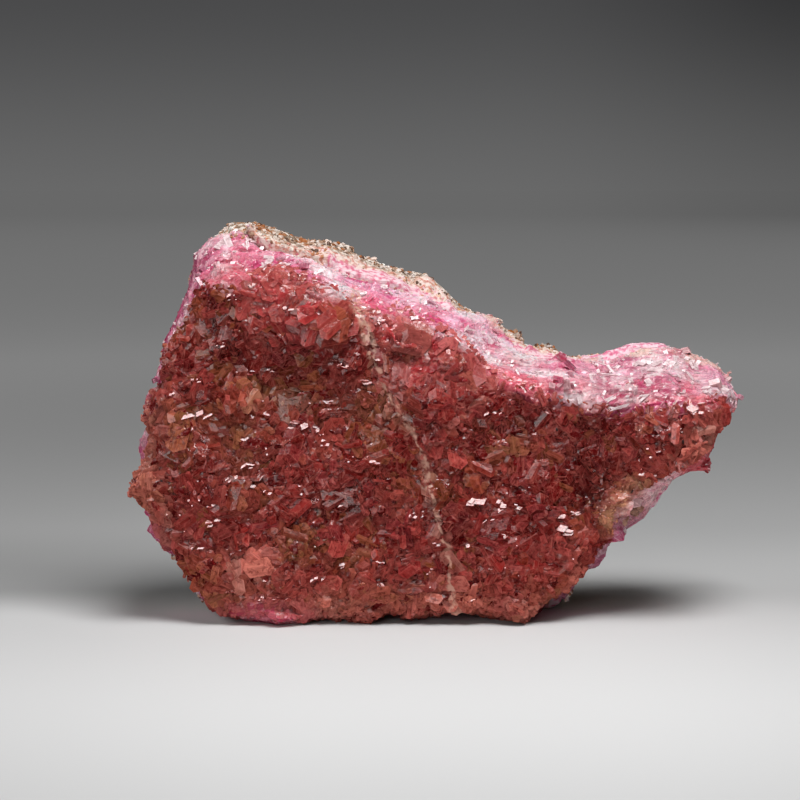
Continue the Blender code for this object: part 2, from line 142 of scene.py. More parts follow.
class Tree:
    """The node tree of a material or of the world."""

    def __init__(self, owner):
        owner.use_nodes = True
        self.owner = owner
        self.tree = owner.node_tree
        self.tree.nodes.clear()

    def put(self, socket, value):
        """Links a Value to a socket, or sets a number or a colour on it. A colour of one number
        is a grey."""
        if isinstance(value, Value):
            self.tree.links.new(value.socket, socket)
        elif socket.type == "RGBA":
            socket.default_value = (*np.broadcast_to(value, 3), 1.0)
        else:
            socket.default_value = value

    def add(self, kind, settings=None, inputs=None, output=0):
        """A new node: its settings first, then the values and links of its sockets."""
        node = self.tree.nodes.new("ShaderNode" + kind)
        for name, setting in (settings or {}).items():
            setattr(node, name, setting)
        for key, value in (inputs or {}).items():
            self.put(node.inputs[key], value)
        return Value(self, node.outputs[output])

    def maths(self, operation, *values):
        return self.add("Math", {"operation": operation}, dict(enumerate(values)))

    def between(self, value, low, high):
        """0 below low, 1 above high, and 3t^2 - 2t^3 from one to the other."""
        inputs = {"Value": value, "From Min": low, "From Max": high}
        return self.add("MapRange", {"interpolation_type": "SMOOTHSTEP"}, inputs)

    def mix(self, share, first, second, blend="MIX"):
        """A colour moved a share of the way to a second one, or to the two multiplied."""
        settings = {"data_type": "RGBA", "blend_type": blend}
        return self.add("Mix", settings, {0: share, 6: first, 7: second}, 2)

    def place(self):
        return self.add("TexCoord", output="Object")

    def part(self, vector, index):
        """One of a vector's three numbers."""
        return self.add("SeparateXYZ", None, {0: vector}, index)

    def scaled(self, vector, factors):
        return self.add("VectorMath", {"operation": "MULTIPLY"}, {0: vector, 1: factors})

    def noise(self, vector, size, detail=2.0, distortion=0.0):
        """Smooth noise around 0.5, with patches of about this size."""
        inputs = {"Vector": vector, "Scale": 1.0 / size, "Detail": detail, "Distortion": distortion}
        return self.add("TexNoise", None, inputs)

    def attribute(self, name, output="Color"):
        return self.add("Attribute", {"attribute_name": name}, output=output)

    def bump(self, strength, distance, height):
        return self.add("Bump", None, {"Strength": strength, "Distance": distance, "Height": height})

    def principled(self, colour, roughness, others):
        """A Principled shader, with its other inputs by name."""
        inputs = {"Base Color": colour, "Roughness": roughness, **others}
        return self.add("BsdfPrincipled", None, inputs)

    def show(self, shader, output="OutputMaterial"):
        """Puts a shader on the surface of the material or the world."""
        node = self.tree.nodes.new("ShaderNode" + output)
        self.put(node.inputs["Surface"], shader)


def paint(red, green, blue):
    """A colour as read on a screen, 0 to 255, as the linear values that a shader needs."""
    screen = np.array([red, green, blue]) / 255.0
    return np.where(screen < 0.04045, screen / 12.92, ((screen + 0.055) / 1.055) ** 2.4)


print("mid grey, 128 on a screen, is", paint(128, 128, 128)[0].round(3), "in a shader")

# %% [markdown]
# ## Floor, backdrop and light
#
# The photo is a studio shot: a pale sheet that falls off to grey behind the slab, one soft light
# from above, a little to the right and in front, and weak light from the front left. The floor
# is one large plane whose tone follows the distance behind and beside the slab: the falloff of
# light is painted into it, palest just in front of the slab and painted darker towards the
# camera, to the sides and behind, darkest behind on the left. Its emission is a painted glow that
# rises from 0.1 m away, and far away it glows with the greys of the world behind it, so that no
# line shows where they meet.

# %% Floor
FLOOR_REACH = 40.0
# The share of the right side's greys at the horizon rises between these sideways directions
TO_RIGHT = (0.04, 0.2)

floor_mesh = bpy.data.meshes.new("floor")
corners = [(x * FLOOR_REACH, y * FLOOR_REACH, 0.0) for x, y in ((-1, -1), (1, -1), (1, 1), (-1, 1))]
floor_mesh.from_pydata(corners, [], [(0, 1, 2, 3)])
floor = linked("floor", floor_mesh)

sheet = Tree(bpy.data.materials.new("floor_sheet"))
place = sheet.place()
away = sheet.add("VectorMath", {"operation": "LENGTH"}, {0: place}, "Value")
aside, behind = sheet.part(place, 0), sheet.part(place, 1)
# A painted glow: the floor's emission rises from 0.1 m away and meets the world's greys far off
glow = sheet.mix(sheet.between(away, 0.1, 0.75), 0.0, 0.165)
horizon = sheet.mix(sheet.between(aside / away, *TO_RIGHT), 0.1385, 0.1096)
glow = sheet.mix(sheet.between(away, 1.0, 7.0), glow, horizon)
# Painted falloff of light: the tone is palest just in front of the slab, and painted darker towards the
# camera, to the sides and behind it, more on the left than on the right
pale = sheet.mix(sheet.between(behind, -0.2, -0.08), 0.58, 0.78)
pale = sheet.mix(sheet.between(behind, -0.08, -0.01), pale, 0.73)
painted_falloff_aside = sheet.between(sheet.maths("ABSOLUTE", aside), 0.02, 0.09)
pale = sheet.mix(0.09 * painted_falloff_aside, pale, 0.0)
painted_falloff_behind = sheet.mix(sheet.between(aside, -0.09, 0.06), 0.36, 0.55)
further = sheet.mix(sheet.between(aside, -0.12, 0.0), 0.45, 0.52)
painted_falloff_behind = sheet.mix(sheet.between(behind, 0.05, 0.12), painted_falloff_behind, further)
pale = sheet.mix(sheet.between(behind, -0.008, 0.026), pale, painted_falloff_behind)
sheet.show(sheet.principled(pale, 0.6, {
    "Specular IOR Level": 0.0, "Emission Color": glow, "Emission Strength": 1.0}))
floor_mesh.materials.append(sheet.owner)
print("the floor reaches", FLOOR_REACH, "m")

# %% Backdrop
world = bpy.data.worlds.new("backdrop")
scene.world = world
sky = Tree(world)
way = sky.add("TexCoord", output="Generated")
rise = sky.between(sky.part(way, 2), -0.03, 0.1)
left_grey = sky.mix(rise, paint(108, 108, 108), paint(72, 72, 73))
right_grey = sky.mix(rise, paint(98, 98, 98), paint(48, 48, 49))
backdrop = sky.mix(sky.between(sky.part(way, 0), *TO_RIGHT), left_grey, right_grey)
sky.show(sky.add("Background", None, {"Color": backdrop}), "OutputWorld")
# The backdrop is seen, but the slab is lit by the lamps alone, and mirrors nothing else
world.cycles_visibility.diffuse = False
world.cycles_visibility.glossy = False
floor.visible_glossy = False
scene.view_settings.view_transform = "Standard"
print("the backdrop is ready")


# %% Lamps
def lamp(name, place, target, size, watts):
    """A rectangular soft light at a place, turned to a target, that the camera doesn't see."""
    light = bpy.data.lights.new(name, "AREA")
    light.shape = "RECTANGLE"
    light.size, light.size_y = size
    light.energy = watts
    thing = linked(name, light)
    thing.location = place
    thing.rotation_euler = (Vector(target) - Vector(place)).to_track_quat("-Z", "Y").to_euler()
    thing.visible_camera = False
    print(name, "has", watts, "W")


KEY_PLACE = (0.1, -0.18, 0.5)
lamp("key_above", KEY_PLACE, (0.0, 0.0, 0.03), (0.26, 0.22), 2.5)
lamp("fill_front", (-0.2, -0.8, 0.3), (0.0, 0.0, 0.04), (0.4, 0.3), 1.0)
lamp("fill_left", (-0.45, -0.05, 0.35), (0.0, 0.0, 0.04), (0.25, 0.25), 0.65)

# %% [markdown]
# ## The solids as arrays
#
# Crystals grow on the surface of the solids, so the triangles of a solid are read once into
# arrays. Scattering is then a sum: a triangle is drawn with a chance in proportion to its area,
# and a place in it is A + u (B - A) + v (C - A). One place is kept in each small cube of space, so
# that the crystals are evenly spread.

# %% Triangles and places
def coordinates(items, field):
    """A vector that each item of a mesh has, as an array of (item, xyz)."""
    values = np.empty(3 * len(items))
    items.foreach_get(field, values)
    return values.reshape(-1, 3)


def triangles_of(node):
    """The corners of a node's triangles, as an array of (triangle, corner, xyz)."""
    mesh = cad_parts[node].data
    mesh.calc_loop_triangles()
    index = np.empty(3 * len(mesh.loop_triangles), int)
    mesh.loop_triangles.foreach_get("vertices", index)
    return coordinates(mesh.vertices, "co")[index].reshape(-1, 3, 3)


def unit(vectors):
    return vectors / np.linalg.norm(vectors, axis=-1, keepdims=True)


def scatter(corners, spacing, wanted, rng):
    """Places P = A + u (B - A) + v (C - A) and normals, about a spacing apart, kept by chance."""
    a, b, c = corners[:, 0], corners[:, 1], corners[:, 2]
    across = np.cross(b - a, c - a)
    area = np.linalg.norm(across, axis=1) / 2
    count = int(3 * area.sum() / spacing**2)
    drawn = rng.choice(len(corners), count, p=area / area.sum())
    u, v = rng.random((2, count, 1))
    over = u + v > 1
    u, v = np.where(over, 1 - u, u), np.where(over, 1 - v, v)
    places = a[drawn] + u * (b - a)[drawn] + v * (c - a)[drawn]
    normals = unit(across[drawn])
    cells = np.floor(places / spacing).astype(int)
    first = np.unique(cells, axis=0, return_index=True)[1]
    places, normals = places[first], normals[first]
    kept = rng.random(len(places)) < wanted(places, normals)
    return places[kept], normals[kept]


crust_triangles = triangles_of("calcite_crust")
rock_triangles = triangles_of("host_rock")
print(len(crust_triangles), "triangles of crust and", len(rock_triangles), "of rock")

# %% Smooth noise
TABLE_ROWS = 4096
CELL_PRIMES = np.array([73856093, 19349663, 83492791])


def row_of(cells):
    """The row of a random table that belongs to each cell of a grid, mixed from its numbers."""
    return np.bitwise_xor.reduce(cells * CELL_PRIMES, axis=1) % TABLE_ROWS


def step(value, low, high):
    """0 below low, 1 above high, and 3t^2 - 2t^3 from one to the other, on arrays."""
    t = np.clip((value - low) / (high - low), 0, 1)
    return t * t * (3 - 2 * t)


def cloud(points, size, seed):
    """Smooth noise from -1 to 1: random values on a cubic grid, blended by 3t^2 - 2t^3."""
    table = np.random.default_rng(seed).uniform(-1, 1, TABLE_ROWS)
    q = points / size
    cell = np.floor(q).astype(np.int64)
    t = q - cell
    t = t * t * (3 - 2 * t)
    total = np.zeros(len(points))
    for corner in np.ndindex(2, 2, 2):
        total += table[row_of(cell + corner)] * np.prod(np.where(corner, t, 1 - t), axis=1)
    return total


print("smoothstep of a half is", float(step(0.5, 0, 1)))

# %% [markdown]
# ## The zones of the crust
#
# The crust isn't one colour. Its front face is dark red, its broken top is milky pink, its sides
# are violet and pink, and rust has settled in places. Light and shade are painted in as well: the
# face's swellings are painted lighter, as lit from above, and its hollows painted darker.
# Each zone is a formula of position: bell curves for spots, and a line for the face's upper edge.

# %% Zones, in picture pixels
# The face's upper edge, as columns and rows
FACE_TOP = (
    (190, 282), (218, 280), (240, 276), (253, 268), (278, 262), (299, 268), (318, 280), (341, 286),
    (361, 308), (384, 303), (398, 304), (412, 308), (428, 316), (441, 322), (456, 330), (470, 342),
    (481, 355), (495, 368), (518, 378), (543, 384), (566, 391), (594, 397), (616, 403), (636, 402),
    (661, 397), (681, 399), (701, 396), (716, 396),
)
# The pale vein that crosses the face, from its top to its foot
VEIN = (
    (352, 285), (355, 300), (362, 318), (370, 340), (375, 360), (385, 385), (393, 400),
    (405, 420), (418, 440), (425, 462), (432, 490), (437, 510), (441, 530), (446, 545),
    (449, 560), (450, 580), (455, 600), (458, 622),
)
# Spots on the face, as the column, the row and the two reaches of a bell curve
# The two swellings under the face's upper edge, where light from above is painted into the tints
SHOULDER = ((272, 294, 30, 24), (310, 308, 36, 26), (332, 336, 20, 14))
BULGE = ((392, 326, 26, 24), (440, 340, 44, 24), (500, 372, 36, 14), (420, 366, 30, 20))
# The right part of the face, painted redder like the lit swellings
RIGHT_RED = ((670, 430, 60, 18), (690, 470, 30, 24), (560, 400, 60, 14))
# Hollows, where shade is painted into the tints
SHADED_HOLLOWS = (
    (300, 362, 58, 20), (232, 345, 36, 24), (590, 450, 52, 44), (500, 430, 40, 20),
    (335, 500, 50, 24), (450, 520, 30, 20), (250, 470, 30, 20), (365, 400, 26, 22),
)
RUST = (
    (628, 498, 22, 14), (612, 520, 12, 16), (146, 490, 10, 26), (330, 606, 34, 8), (218, 600, 20, 12),
    (250, 492, 16, 12), (296, 544, 20, 12), (186, 430, 12, 20), (350, 560, 26, 12), (372, 420, 12, 24),
    (258, 392, 26, 16), (300, 400, 40, 16), (568, 386, 14, 8), (180, 322, 8, 20), (410, 596, 40, 8),
    (240, 440, 24, 26), (560, 600, 26, 14), (505, 445, 26, 14),
)
PINK_FOOT = ((268, 616, 42, 13), (160, 540, 10, 10))
GOLD_PATCH = ((611, 520, 8, 13), (624, 502, 12, 11), (641, 485, 9, 6))
# Edges and the foot, where light is painted into the tints because the lamp hardly reaches them
EDGE_LIGHT = (
    (320, 604, 90, 18), (450, 602, 80, 18), (530, 608, 20, 14), (250, 566, 36, 18), (148, 470, 18, 46),
    (574, 578, 14, 28), (692, 446, 26, 26), (630, 500, 20, 24),
)
PALE_SPOTS = (
    (392, 406, 9, 10), (365, 300, 9, 12), (432, 424, 10, 3), (447, 413, 10, 3), (462, 404, 9, 3),
    (478, 396, 9, 3), (568, 388, 7, 7), (706, 432, 7, 12), (300, 404, 20, 5), (262, 402, 16, 4),
    (231, 552, 6, 7), (265, 577, 6, 6), (232, 578, 10, 6), (620, 512, 14, 12), (640, 490, 12, 6),
)
PALE_RIM = (
    (150, 430, 14, 60), (165, 520, 18, 30), (640, 520, 24, 16), (300, 612, 60, 8), (530, 612, 20, 10),
)
SIDE_GOLD = ((623, 507, 9, 12), (636, 492, 7, 5))
# How wide the broken side shows, in mm, at rows on the left and the right, and at columns below
LEFT_STRIP = ((235, 0.0), (260, 2.0), (300, 2.4), (350, 1.8), (400, 1.0), (420, 0.0))
RIGHT_STRIP = (
    (438, 0.0), (455, 3.0), (475, 6.5), (495, 9.5), (515, 9.5), (530, 6.5), (545, 4.0), (565, 1.8),
    (585, 0.0),
)
FOOT_STRIP = ((230, 0.0), (242, 2.2), (290, 2.2), (302, 0.0))
print("the vein crosses", len(VEIN), "places, and rust has settled at", len(RUST))


# %% Zones as formulas
def along(table, value):
    """A table's second number at each value of its first, by straight lines."""
    return np.interp(value, *np.array(table, float).T)


def spots(points, table, seen=seen_at):
    """The largest of the bell curves exp(-(dx/rx)^2 - (dy/ry)^2) around a table's places."""
    column, row = seen(points)
    bells = [np.exp(-((column - x) / rx) ** 2 - ((row - y) / ry) ** 2) for x, y, rx, ry in table]
    return np.max(bells, axis=0)


def above_face(points):
    """How far a point is above the face's upper edge, in picture pixels: negative on the face."""
    column, row = seen_at(points)
    return along(FACE_TOP, column) - row


def off_vein(points):
    """Distance from the vein, in picture pixels, measured along a row."""
    column, row = seen_at(points)
    x, y = np.array(VEIN, float).T
    return np.abs(column - np.interp(row, y, x))


def lit_zone(places):
    """1 in the middle of the two swellings under the face's upper edge, 0 away from them. There the
    tints are painted lighter, as lit from above.
    """
    return np.maximum(spots(places, SHOULDER), spots(places, BULGE))


def smooth_zone(places):
    """1 on the two swellings and on the pink foot, where the crystals are smooth and merge."""
    return np.maximum(lit_zone(places), spots(places, PINK_FOOT))


def rounded_over(places):
    """1 where the face rounds over to the broken top, 0 from 28 pixels under its upper edge."""
    column = seen_at(places)[0]
    share = step(column, 232, 256) * (1 - 0.5 * step(column, 520, 560))
    return share * (1 - step(-above_face(places), 0, 28))


print("in column 400 the face ends at row", along(FACE_TOP, 400).round())

# %% [markdown]
# ## How far inside the outline
#
# A large crystal near the edge would stick out of the slab's outline, so crystals are kept small
# there. The distance from the outline comes from a grid over the front view: places drawn on
# the solids fill its cells, and each pass then takes away the outermost ring of filled cells.

# %% Distance from the outline
RING = 0.8 * MM
RINGS = 12
MARGIN = 4

both = np.concatenate([crust_triangles, rock_triangles])
drawn = scatter(both, 0.35 * MM, lambda p, n: np.ones(len(p)), np.random.default_rng(3))[0]
lowest = drawn.min(axis=0)
sizes = ((drawn.max(axis=0) - lowest) / RING).astype(int) + 2 * MARGIN + 1


def cell_of(points):
    """Grid cell of points in the front view."""
    cells = ((points - lowest) / RING).astype(int) + MARGIN
    return cells[:, 0].clip(0, sizes[0] - 1), cells[:, 2].clip(0, sizes[2] - 1)


left = np.zeros((sizes[0], sizes[2]), bool)
left[cell_of(drawn)] = True
rings = left.astype(int)
print("the grid has", rings.sum(), "filled cells")
for _ in range(RINGS):
    left = left & np.roll(left, 1, 0) & np.roll(left, -1, 0) & np.roll(left, 1, 1) & np.roll(left, -1, 1)
    rings += left


def from_outline(points):
    """Distance from the outline as seen from the front, counted in rings of 0.8 mm."""
    return rings[cell_of(points)] * RING


# %% Face and sides
def behind_face(points):
    """1 where the sides run back from the front face, 0 on the face and in its hollows, which lie
    further inside the outline."""
    inside = 7 * step(from_outline(points), 3 * MM, 6 * MM)
    return step(points[:, 1] / MM - inside, -12.5, -9.0)


def strip_width(points):
    """Width, in mm, of the strip of broken side next to each point."""
    column, row = seen_at(points)
    width = np.where(column < 300, along(LEFT_STRIP, row), 0.0)
    width = np.where(column > 590, along(RIGHT_STRIP, row), width)
    return np.where(row > 600, along(FOOT_STRIP, column), width)


def side_strip(points):
    """1 in the strips of broken side that show beside the face, 0 elsewhere."""
    width = strip_width(points)
    return (width > 0.2) * (1 - step(from_outline(points) / MM, width - 0.4, width + 0.4))


def on_face(places, normals):
    """1 on the front face, falling to 0 at its upper edge and where the sides run back."""
    return (1 - behind_face(places)) * (1 - step(above_face(places), -8, 1)) * (1 - side_strip(places))


def off_face(places, normals):
    """1 on the broken top and the sides, 0 on the front face and at the joint with the rock."""
    top = step(above_face(places), -4, 4)
    return np.maximum(np.maximum(top, behind_face(places)), side_strip(places)) * (normals[:, 1] < 0.6)


print("the rings reach", round(rings.max() * RING / MM, 1), "mm inside the outline")

# %% [markdown]
# ## Crystal shapes
#
# A calcite crystal here is a rhomb: a box pushed askew along its long diagonal. Three edges E0,
# E1 and E2 that lean away from one axis describe it fully, and each corner is a sum of some of
# them. Flat rhombs lean far from the axis, and a cleavage rhomb leans 63.7 degrees. All crystals
# of a kind are worked out as one array and become one mesh.

# %% Rhombs as arrays
UNIT_CORNERS = np.array(list(np.ndindex(2, 2, 2)), float)
UNIT_FACES = np.array([(0, 1, 3, 2), (4, 6, 7, 5), (0, 4, 5, 1), (2, 3, 7, 6), (0, 2, 6, 4), (1, 5, 7, 3)])
CLEAVAGE_LEAN = np.radians(63.7)


def random_units(count, rng):
    return unit(rng.normal(size=(count, 3)))


def rhomb_edges(axis, sideways_hint, lean, lengths):
    """Three edges a third of a turn apart: length (cos(lean) axis + sin(lean) sideways)."""
    side = unit(np.cross(axis, sideways_hint))
    up = np.cross(axis, side)
    turn = np.arange(3) * 2 * np.pi / 3
    sideways = np.cos(turn)[None, :, None] * side[:, None] + np.sin(turn)[None, :, None] * up[:, None]
    lean = np.broadcast_to(lean, len(axis))[:, None, None]
    return (np.cos(lean) * axis[:, None] + np.sin(lean) * sideways) * lengths[:, :, None]


def corners_of(edges):
    """The corners a E0 + b E1 + c E2, with a, b and c of -0.5 or 0.5."""
    return np.einsum("kj,nji->nki", UNIT_CORNERS - 0.5, edges)


def stood_on(places, normals, edges, stand):
    """Corners around each place, moved along the normal until the highest stands at a height."""
    corners = corners_of(edges)
    height = np.einsum("nki,ni->nk", corners, normals).max(axis=1)
    return places[:, None] + corners + ((stand - height)[:, None] * normals)[:, None]


def outward(edges):
    """The same edges in an order whose triple product is positive, so that faces point out."""
    inside_out = np.linalg.det(edges) < 0
    edges[inside_out] = edges[inside_out][:, (1, 0, 2)]
    return edges


print("a rhomb has", len(UNIT_FACES), "faces")

# %% Many shapes as one mesh
LAYER_KINDS = {1: ("FLOAT", "value"), 3: ("FLOAT_VECTOR", "vector"), 4: ("FLOAT_COLOR", "color")}
# A crystal's texture starts up to this many mm away, at a place mixed from its first corner
TEXTURE_REACH = 40
CORNER_PRIME = 7919


def add_layers(mesh, **layers):
    """Gives each point of a mesh a colour, a vector or a number in a named layer."""
    for layer, values in layers.items():
        kind, field = LAYER_KINDS[values.shape[-1]]
        mesh.attributes.new(layer, kind, "POINT").data.foreach_set(field, values.ravel())


def finished(thing, finish):
    """Gives an object its only material, and lets it ride on the slab."""
    thing.data.materials.clear()
    thing.data.materials.append(finish)
    thing.data.shade_flat()
    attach(thing, "root")


def joined(name, points, faces, finish, slot, **layers):
    """One object from shapes that all use the same faces: points is (shape, corner, xyz). A layer
    has values for each shape, or for each corner of each shape."""
    shapes, corners, _ = points.shape
    index = np.arange(shapes)[:, None, None] * corners + faces
    points = points.reshape(-1, 3).copy()
    points[:, 2] = np.maximum(points[:, 2], 0.0)
    mesh = bpy.data.meshes.new(name)
    mesh.vertices.add(len(points))
    mesh.vertices.foreach_set("co", points.ravel())
    mesh.loops.add(index.size)
    mesh.loops.foreach_set("vertex_index", index.ravel())
    mesh.polygons.add(shapes * len(faces))
    mesh.polygons.foreach_set("loop_start", np.arange(shapes * len(faces)) * faces.shape[1])
    mesh.update(calc_edges=True)
    for layer, values in layers.items():
        width = values.shape[-1]
        spread = np.broadcast_to(values.reshape(shapes, -1, width), (shapes, corners, width))
        add_layers(mesh, **{layer: spread.reshape(-1, width)})
    finished(linked(name, mesh), finish)
    print(name, "has", shapes, "shapes and", shapes * len(faces) * (faces.shape[1] - 2), "triangles")


def crystals(name, groups, finish):
    """Rhombs as one object, from groups of (corners, edges, tint). The layer local is each
    corner's place along the crystal's own edges, in millimetres, so that a texture follows them."""
    corners, edges, tint = (np.concatenate(parts) for parts in zip(*groups))
    size = np.linalg.norm(edges, axis=2)
    own = TEXTURE_REACH * np.modf(corners[:, 0] * CORNER_PRIME)[0][:, None]
    local = UNIT_CORNERS[None] * size[:, None] / MM + own
    corner = np.repeat(UNIT_CORNERS[None], len(corners), 0)
    joined(name, corners, UNIT_FACES, finish, "calcite", tint=tint, local=local, corner=corner)


print("layers may be", [kind for kind, _ in LAYER_KINDS.values()])

# %% [markdown]
# ## Tints
#
# Crystals differ in colour one by one: most are a dusty rose or brick red, some deep maroon,
# some golden brown where iron got in. The zone then shifts the whole group, and some of these
# shifts are painted light and shade. A tint also carries, in its fourth number, how clear the
# crystal is.

# %% Named tints
DUSTY = paint(192, 80, 75)
BRICK = paint(172, 48, 45)
MAROON = paint(130, 20, 21)
GOLDEN = paint(172, 98, 60)
MAUVE = paint(160, 56, 60)
LIT_RED = paint(222, 84, 86)
PALE = paint(226, 176, 156)
OCHRE = paint(206, 142, 92)
SALMON = paint(228, 116, 130)
# Painted light from above, on the bulge and where the face rounds over to the top
LIT_ROSE = paint(238, 134, 134)
# Paler than the right side's own pink: partly painted light, for a side that the lamp hardly reaches
SIDE_PINK = paint(255, 206, 208)
# Paler edges: partly the crust's own paler edge, partly painted light
THIN_AND_LIT_EDGE = paint(232, 138, 120)
FOOT_ROSE = paint(226, 106, 128)
ROSE = paint(232, 116, 146)
MILK_PINK = paint(246, 184, 206)
MILK = paint(255, 232, 235)
MAGENTA = paint(206, 52, 118)
RUBY = paint(186, 44, 96)
VIOLET = paint(190, 92, 128)
CREAM = paint(240, 206, 190)
GOLD = paint(255, 196, 148)
# Single patches on the broken top: their tint, its share, and where they are seen
BAND_SPOTS = (
    (SALMON, 0.8, (
        (235, 270, 16, 10), (218, 284, 14, 6), (568, 386, 20, 7), (690, 384, 10, 10), (510, 364, 13, 8))),
    (MAGENTA, 0.8, (
        # The magenta arc at column 282 and row 262 is a painted shadow
        (282, 262, 20, 4), (279, 245, 11, 5), (357, 270, 10, 3), (384, 284, 7, 8), (207, 258, 7, 8),
        (492, 345, 9, 6))),
    (RUBY, 0.9, (
        (605, 382, 9, 15), (642, 386, 20, 10), (676, 353, 11, 5), (690, 366, 5, 8), (622, 394, 12, 6),
        (664, 392, 14, 7))),
    (ROSE, 0.7, (
        (242, 252, 9, 14), (358, 298, 7, 6), (566, 364, 13, 7), (541, 366, 9, 9), (492, 348, 11, 8),
        (432, 312, 16, 5), (466, 330, 10, 6))),
    (MILK_PINK, 0.8, ((484, 324, 16, 13), (716, 377, 19, 10))),
    (MILK, 0.9, (
        (226, 248, 4, 15), (328, 270, 16, 10), (650, 362, 14, 9), (676, 364, 11, 6), (716, 393, 17, 3),
        (632, 400, 11, 2.5), (650, 380, 4, 5), (631, 387, 5, 4), (604, 379, 2.5, 9), (613, 373, 2.5, 8),
        (412, 272, 12, 5), (420, 300, 14, 5))),
    (LIT_RED, 0.8, ((716, 407, 18, 8),)),
)


def towards(colour, goal, share):
    """Colours moved a share of the way to a goal."""
    return colour + (goal - colour) * np.asarray(share)[:, None]


def shifted(colour, *shifts):
    """Colours moved to some goals in turn, each by its own share."""
    for goal, share in shifts:
        colour = towards(colour, goal, share)
    return colour


def domains(places, size):
    """The number of the cube of space of the given size that each place lies in."""
    return np.unique(np.floor(places / size).astype(int), axis=0, return_inverse=True)[1].ravel()


print("the broken top has patches of", len(BAND_SPOTS), "tints")


# %% Tints by place
def face_tint(places, height, rng):
    """Tints of crystals on the front face and how clear they are. A tint is mostly that of the
    5 mm domain, partly the crystal's own, and painted darker where the crystal stands low, as shade
    among its neighbours. The zones then shift it: redder and rosier on the swellings and where the
    face rounds over, a painted light from above; paler where the crust thins out towards its
    edges, partly its own paler edge and partly painted light; lighter at edges and the foot that
    the lamp hardly reaches, a painted light; darker in the hollows, a painted shade."""
    count = len(places)
    palette = np.array([DUSTY, BRICK, MAROON, GOLDEN, MAUVE])
    chances = (0.36, 0.32, 0.16, 0.06, 0.10)
    domain = domains(places, 5 * MM)
    together = palette[rng.choice(len(palette), domain.max() + 1, p=chances)][domain]
    single = palette[rng.choice(len(palette), count, p=chances)]
    colour = (0.75 * together + 0.25 * single) * rng.uniform(0.92, 1.08, (count, 1))
    # Painted shade: crystals that stand low are darker, as if shaded by their neighbours
    colour = colour * (0.74 + 0.5 * np.clip(height / (0.7 * MM), 0, 1))[:, None]
    golden = 0.8 * step(cloud(places, 7 * MM, 5), 0.1, 0.6)
    lit = np.maximum(lit_zone(places), 0.7 * spots(places, RIGHT_RED))
    painted_edge_light = spots(places, EDGE_LIGHT)
    colour = shifted(
        colour,
        (GOLDEN, golden * rng.random(count)),
        # Painted light: redder where light from above falls on the swellings and the right part, rosier on
        # the bulge
        (LIT_RED, 0.38 * lit),
        (LIT_ROSE, 0.6 * spots(places, BULGE)),
        # Paler towards the outline: partly the crust's own paler edge, partly painted light showing
        # through it
        (THIN_AND_LIT_EDGE, 0.8 * (1 - step(from_outline(places), 0.8 * MM, 3.5 * MM))),
        # Painted light: rosier where the face rounds over to the lit top
        (LIT_ROSE, 0.95 * rounded_over(places) * rng.uniform(0.6, 1, count)),
        (OCHRE, 0.8 * spots(places, RUST) * rng.uniform(0.3, 1, count)),
        # Painted light at edges and the foot that the lamp hardly reaches
        (THIN_AND_LIT_EDGE, 0.95 * painted_edge_light * rng.uniform(0.5, 1, count)),
        (FOOT_ROSE, 0.95 * spots(places, PINK_FOOT)),
        (PALE, 0.5 * spots(places, PALE_SPOTS)),
        (PALE, 0.45 * spots(places, PALE_RIM) * rng.random(count)))
    # Painted shade darkens the hollows, and painted light brightens those edges and the foot further
    colour = np.minimum(colour * (1 - 0.5 * spots(places, SHADED_HOLLOWS) + 0.3 * painted_edge_light)[:, None], 0.95)
    colour = towards(colour, GOLD, 0.8 * spots(places, GOLD_PATCH))
    near_vein = 1 - step(off_vein(places), 2, 8)
    colour = towards(colour, PALE, near_vein * rng.uniform(0.0, 0.45, count))
    clear = rng.uniform(0.0, 0.5, domain.max() + 1)[domain] + rng.uniform(0.0, 0.2, count)
    return np.column_stack([colour, clear * (1 - 0.5 * near_vein)])


def band_tint(places):
    """Tints of the broken top and sides. From the face to the rock they are salmon, rose,
    milky pink with magenta streaks, and cream."""
    waver = 2.5 * cloud(places, 6 * MM, 71) + 1.2 * cloud(places, 1.8 * MM, 72)
    back = (places[:, 1] / MM + 13 + waver) / 17
    column = seen_at(places)[0]
    whiter = step(column, 270, 350) * (1 - 0.6 * step(column, 530, 600))
    milky = step(cloud(places * (1, 2, 2), 9 * MM, 73), -0.15, 0.3) * (0.5 + 0.45 * whiter)
    streak = step(cloud(places * (1, 3, 3), 8 * MM, 74), 0.15, 0.4)
    colour = shifted(
        SALMON,
        (ROSE, step(back, -0.05, 0.2)),
        (MILK_PINK, step(back, 0.1, 0.5) * (0.45 + 0.5 * whiter)),
        (MILK, milky),
        (MAGENTA, 0.8 * streak * (1 - milky)))
    right_end = step(column, 575, 615)
    flecks = cloud(places * (1, 1.5, 1.5), 1.3 * MM, 78) + 0.5 * cloud(places, 3 * MM, 79)
    colour = colour * (1 + (0.16 + 0.3 * right_end) * flecks - 0.1 * right_end)[:, None]
    colour = np.clip(colour * (0.96 + 0.16 * whiter)[:, None], 0, 0.95)
    patches = [(goal, share * spots(places, table, projected)) for goal, share, table in BAND_SPOTS]
    creamy = 0.85 * step(back, 0.85, 1.05) * step(places[:, 2], 20 * MM, 40 * MM)
    return shifted(colour, *patches, (CREAM, creamy))


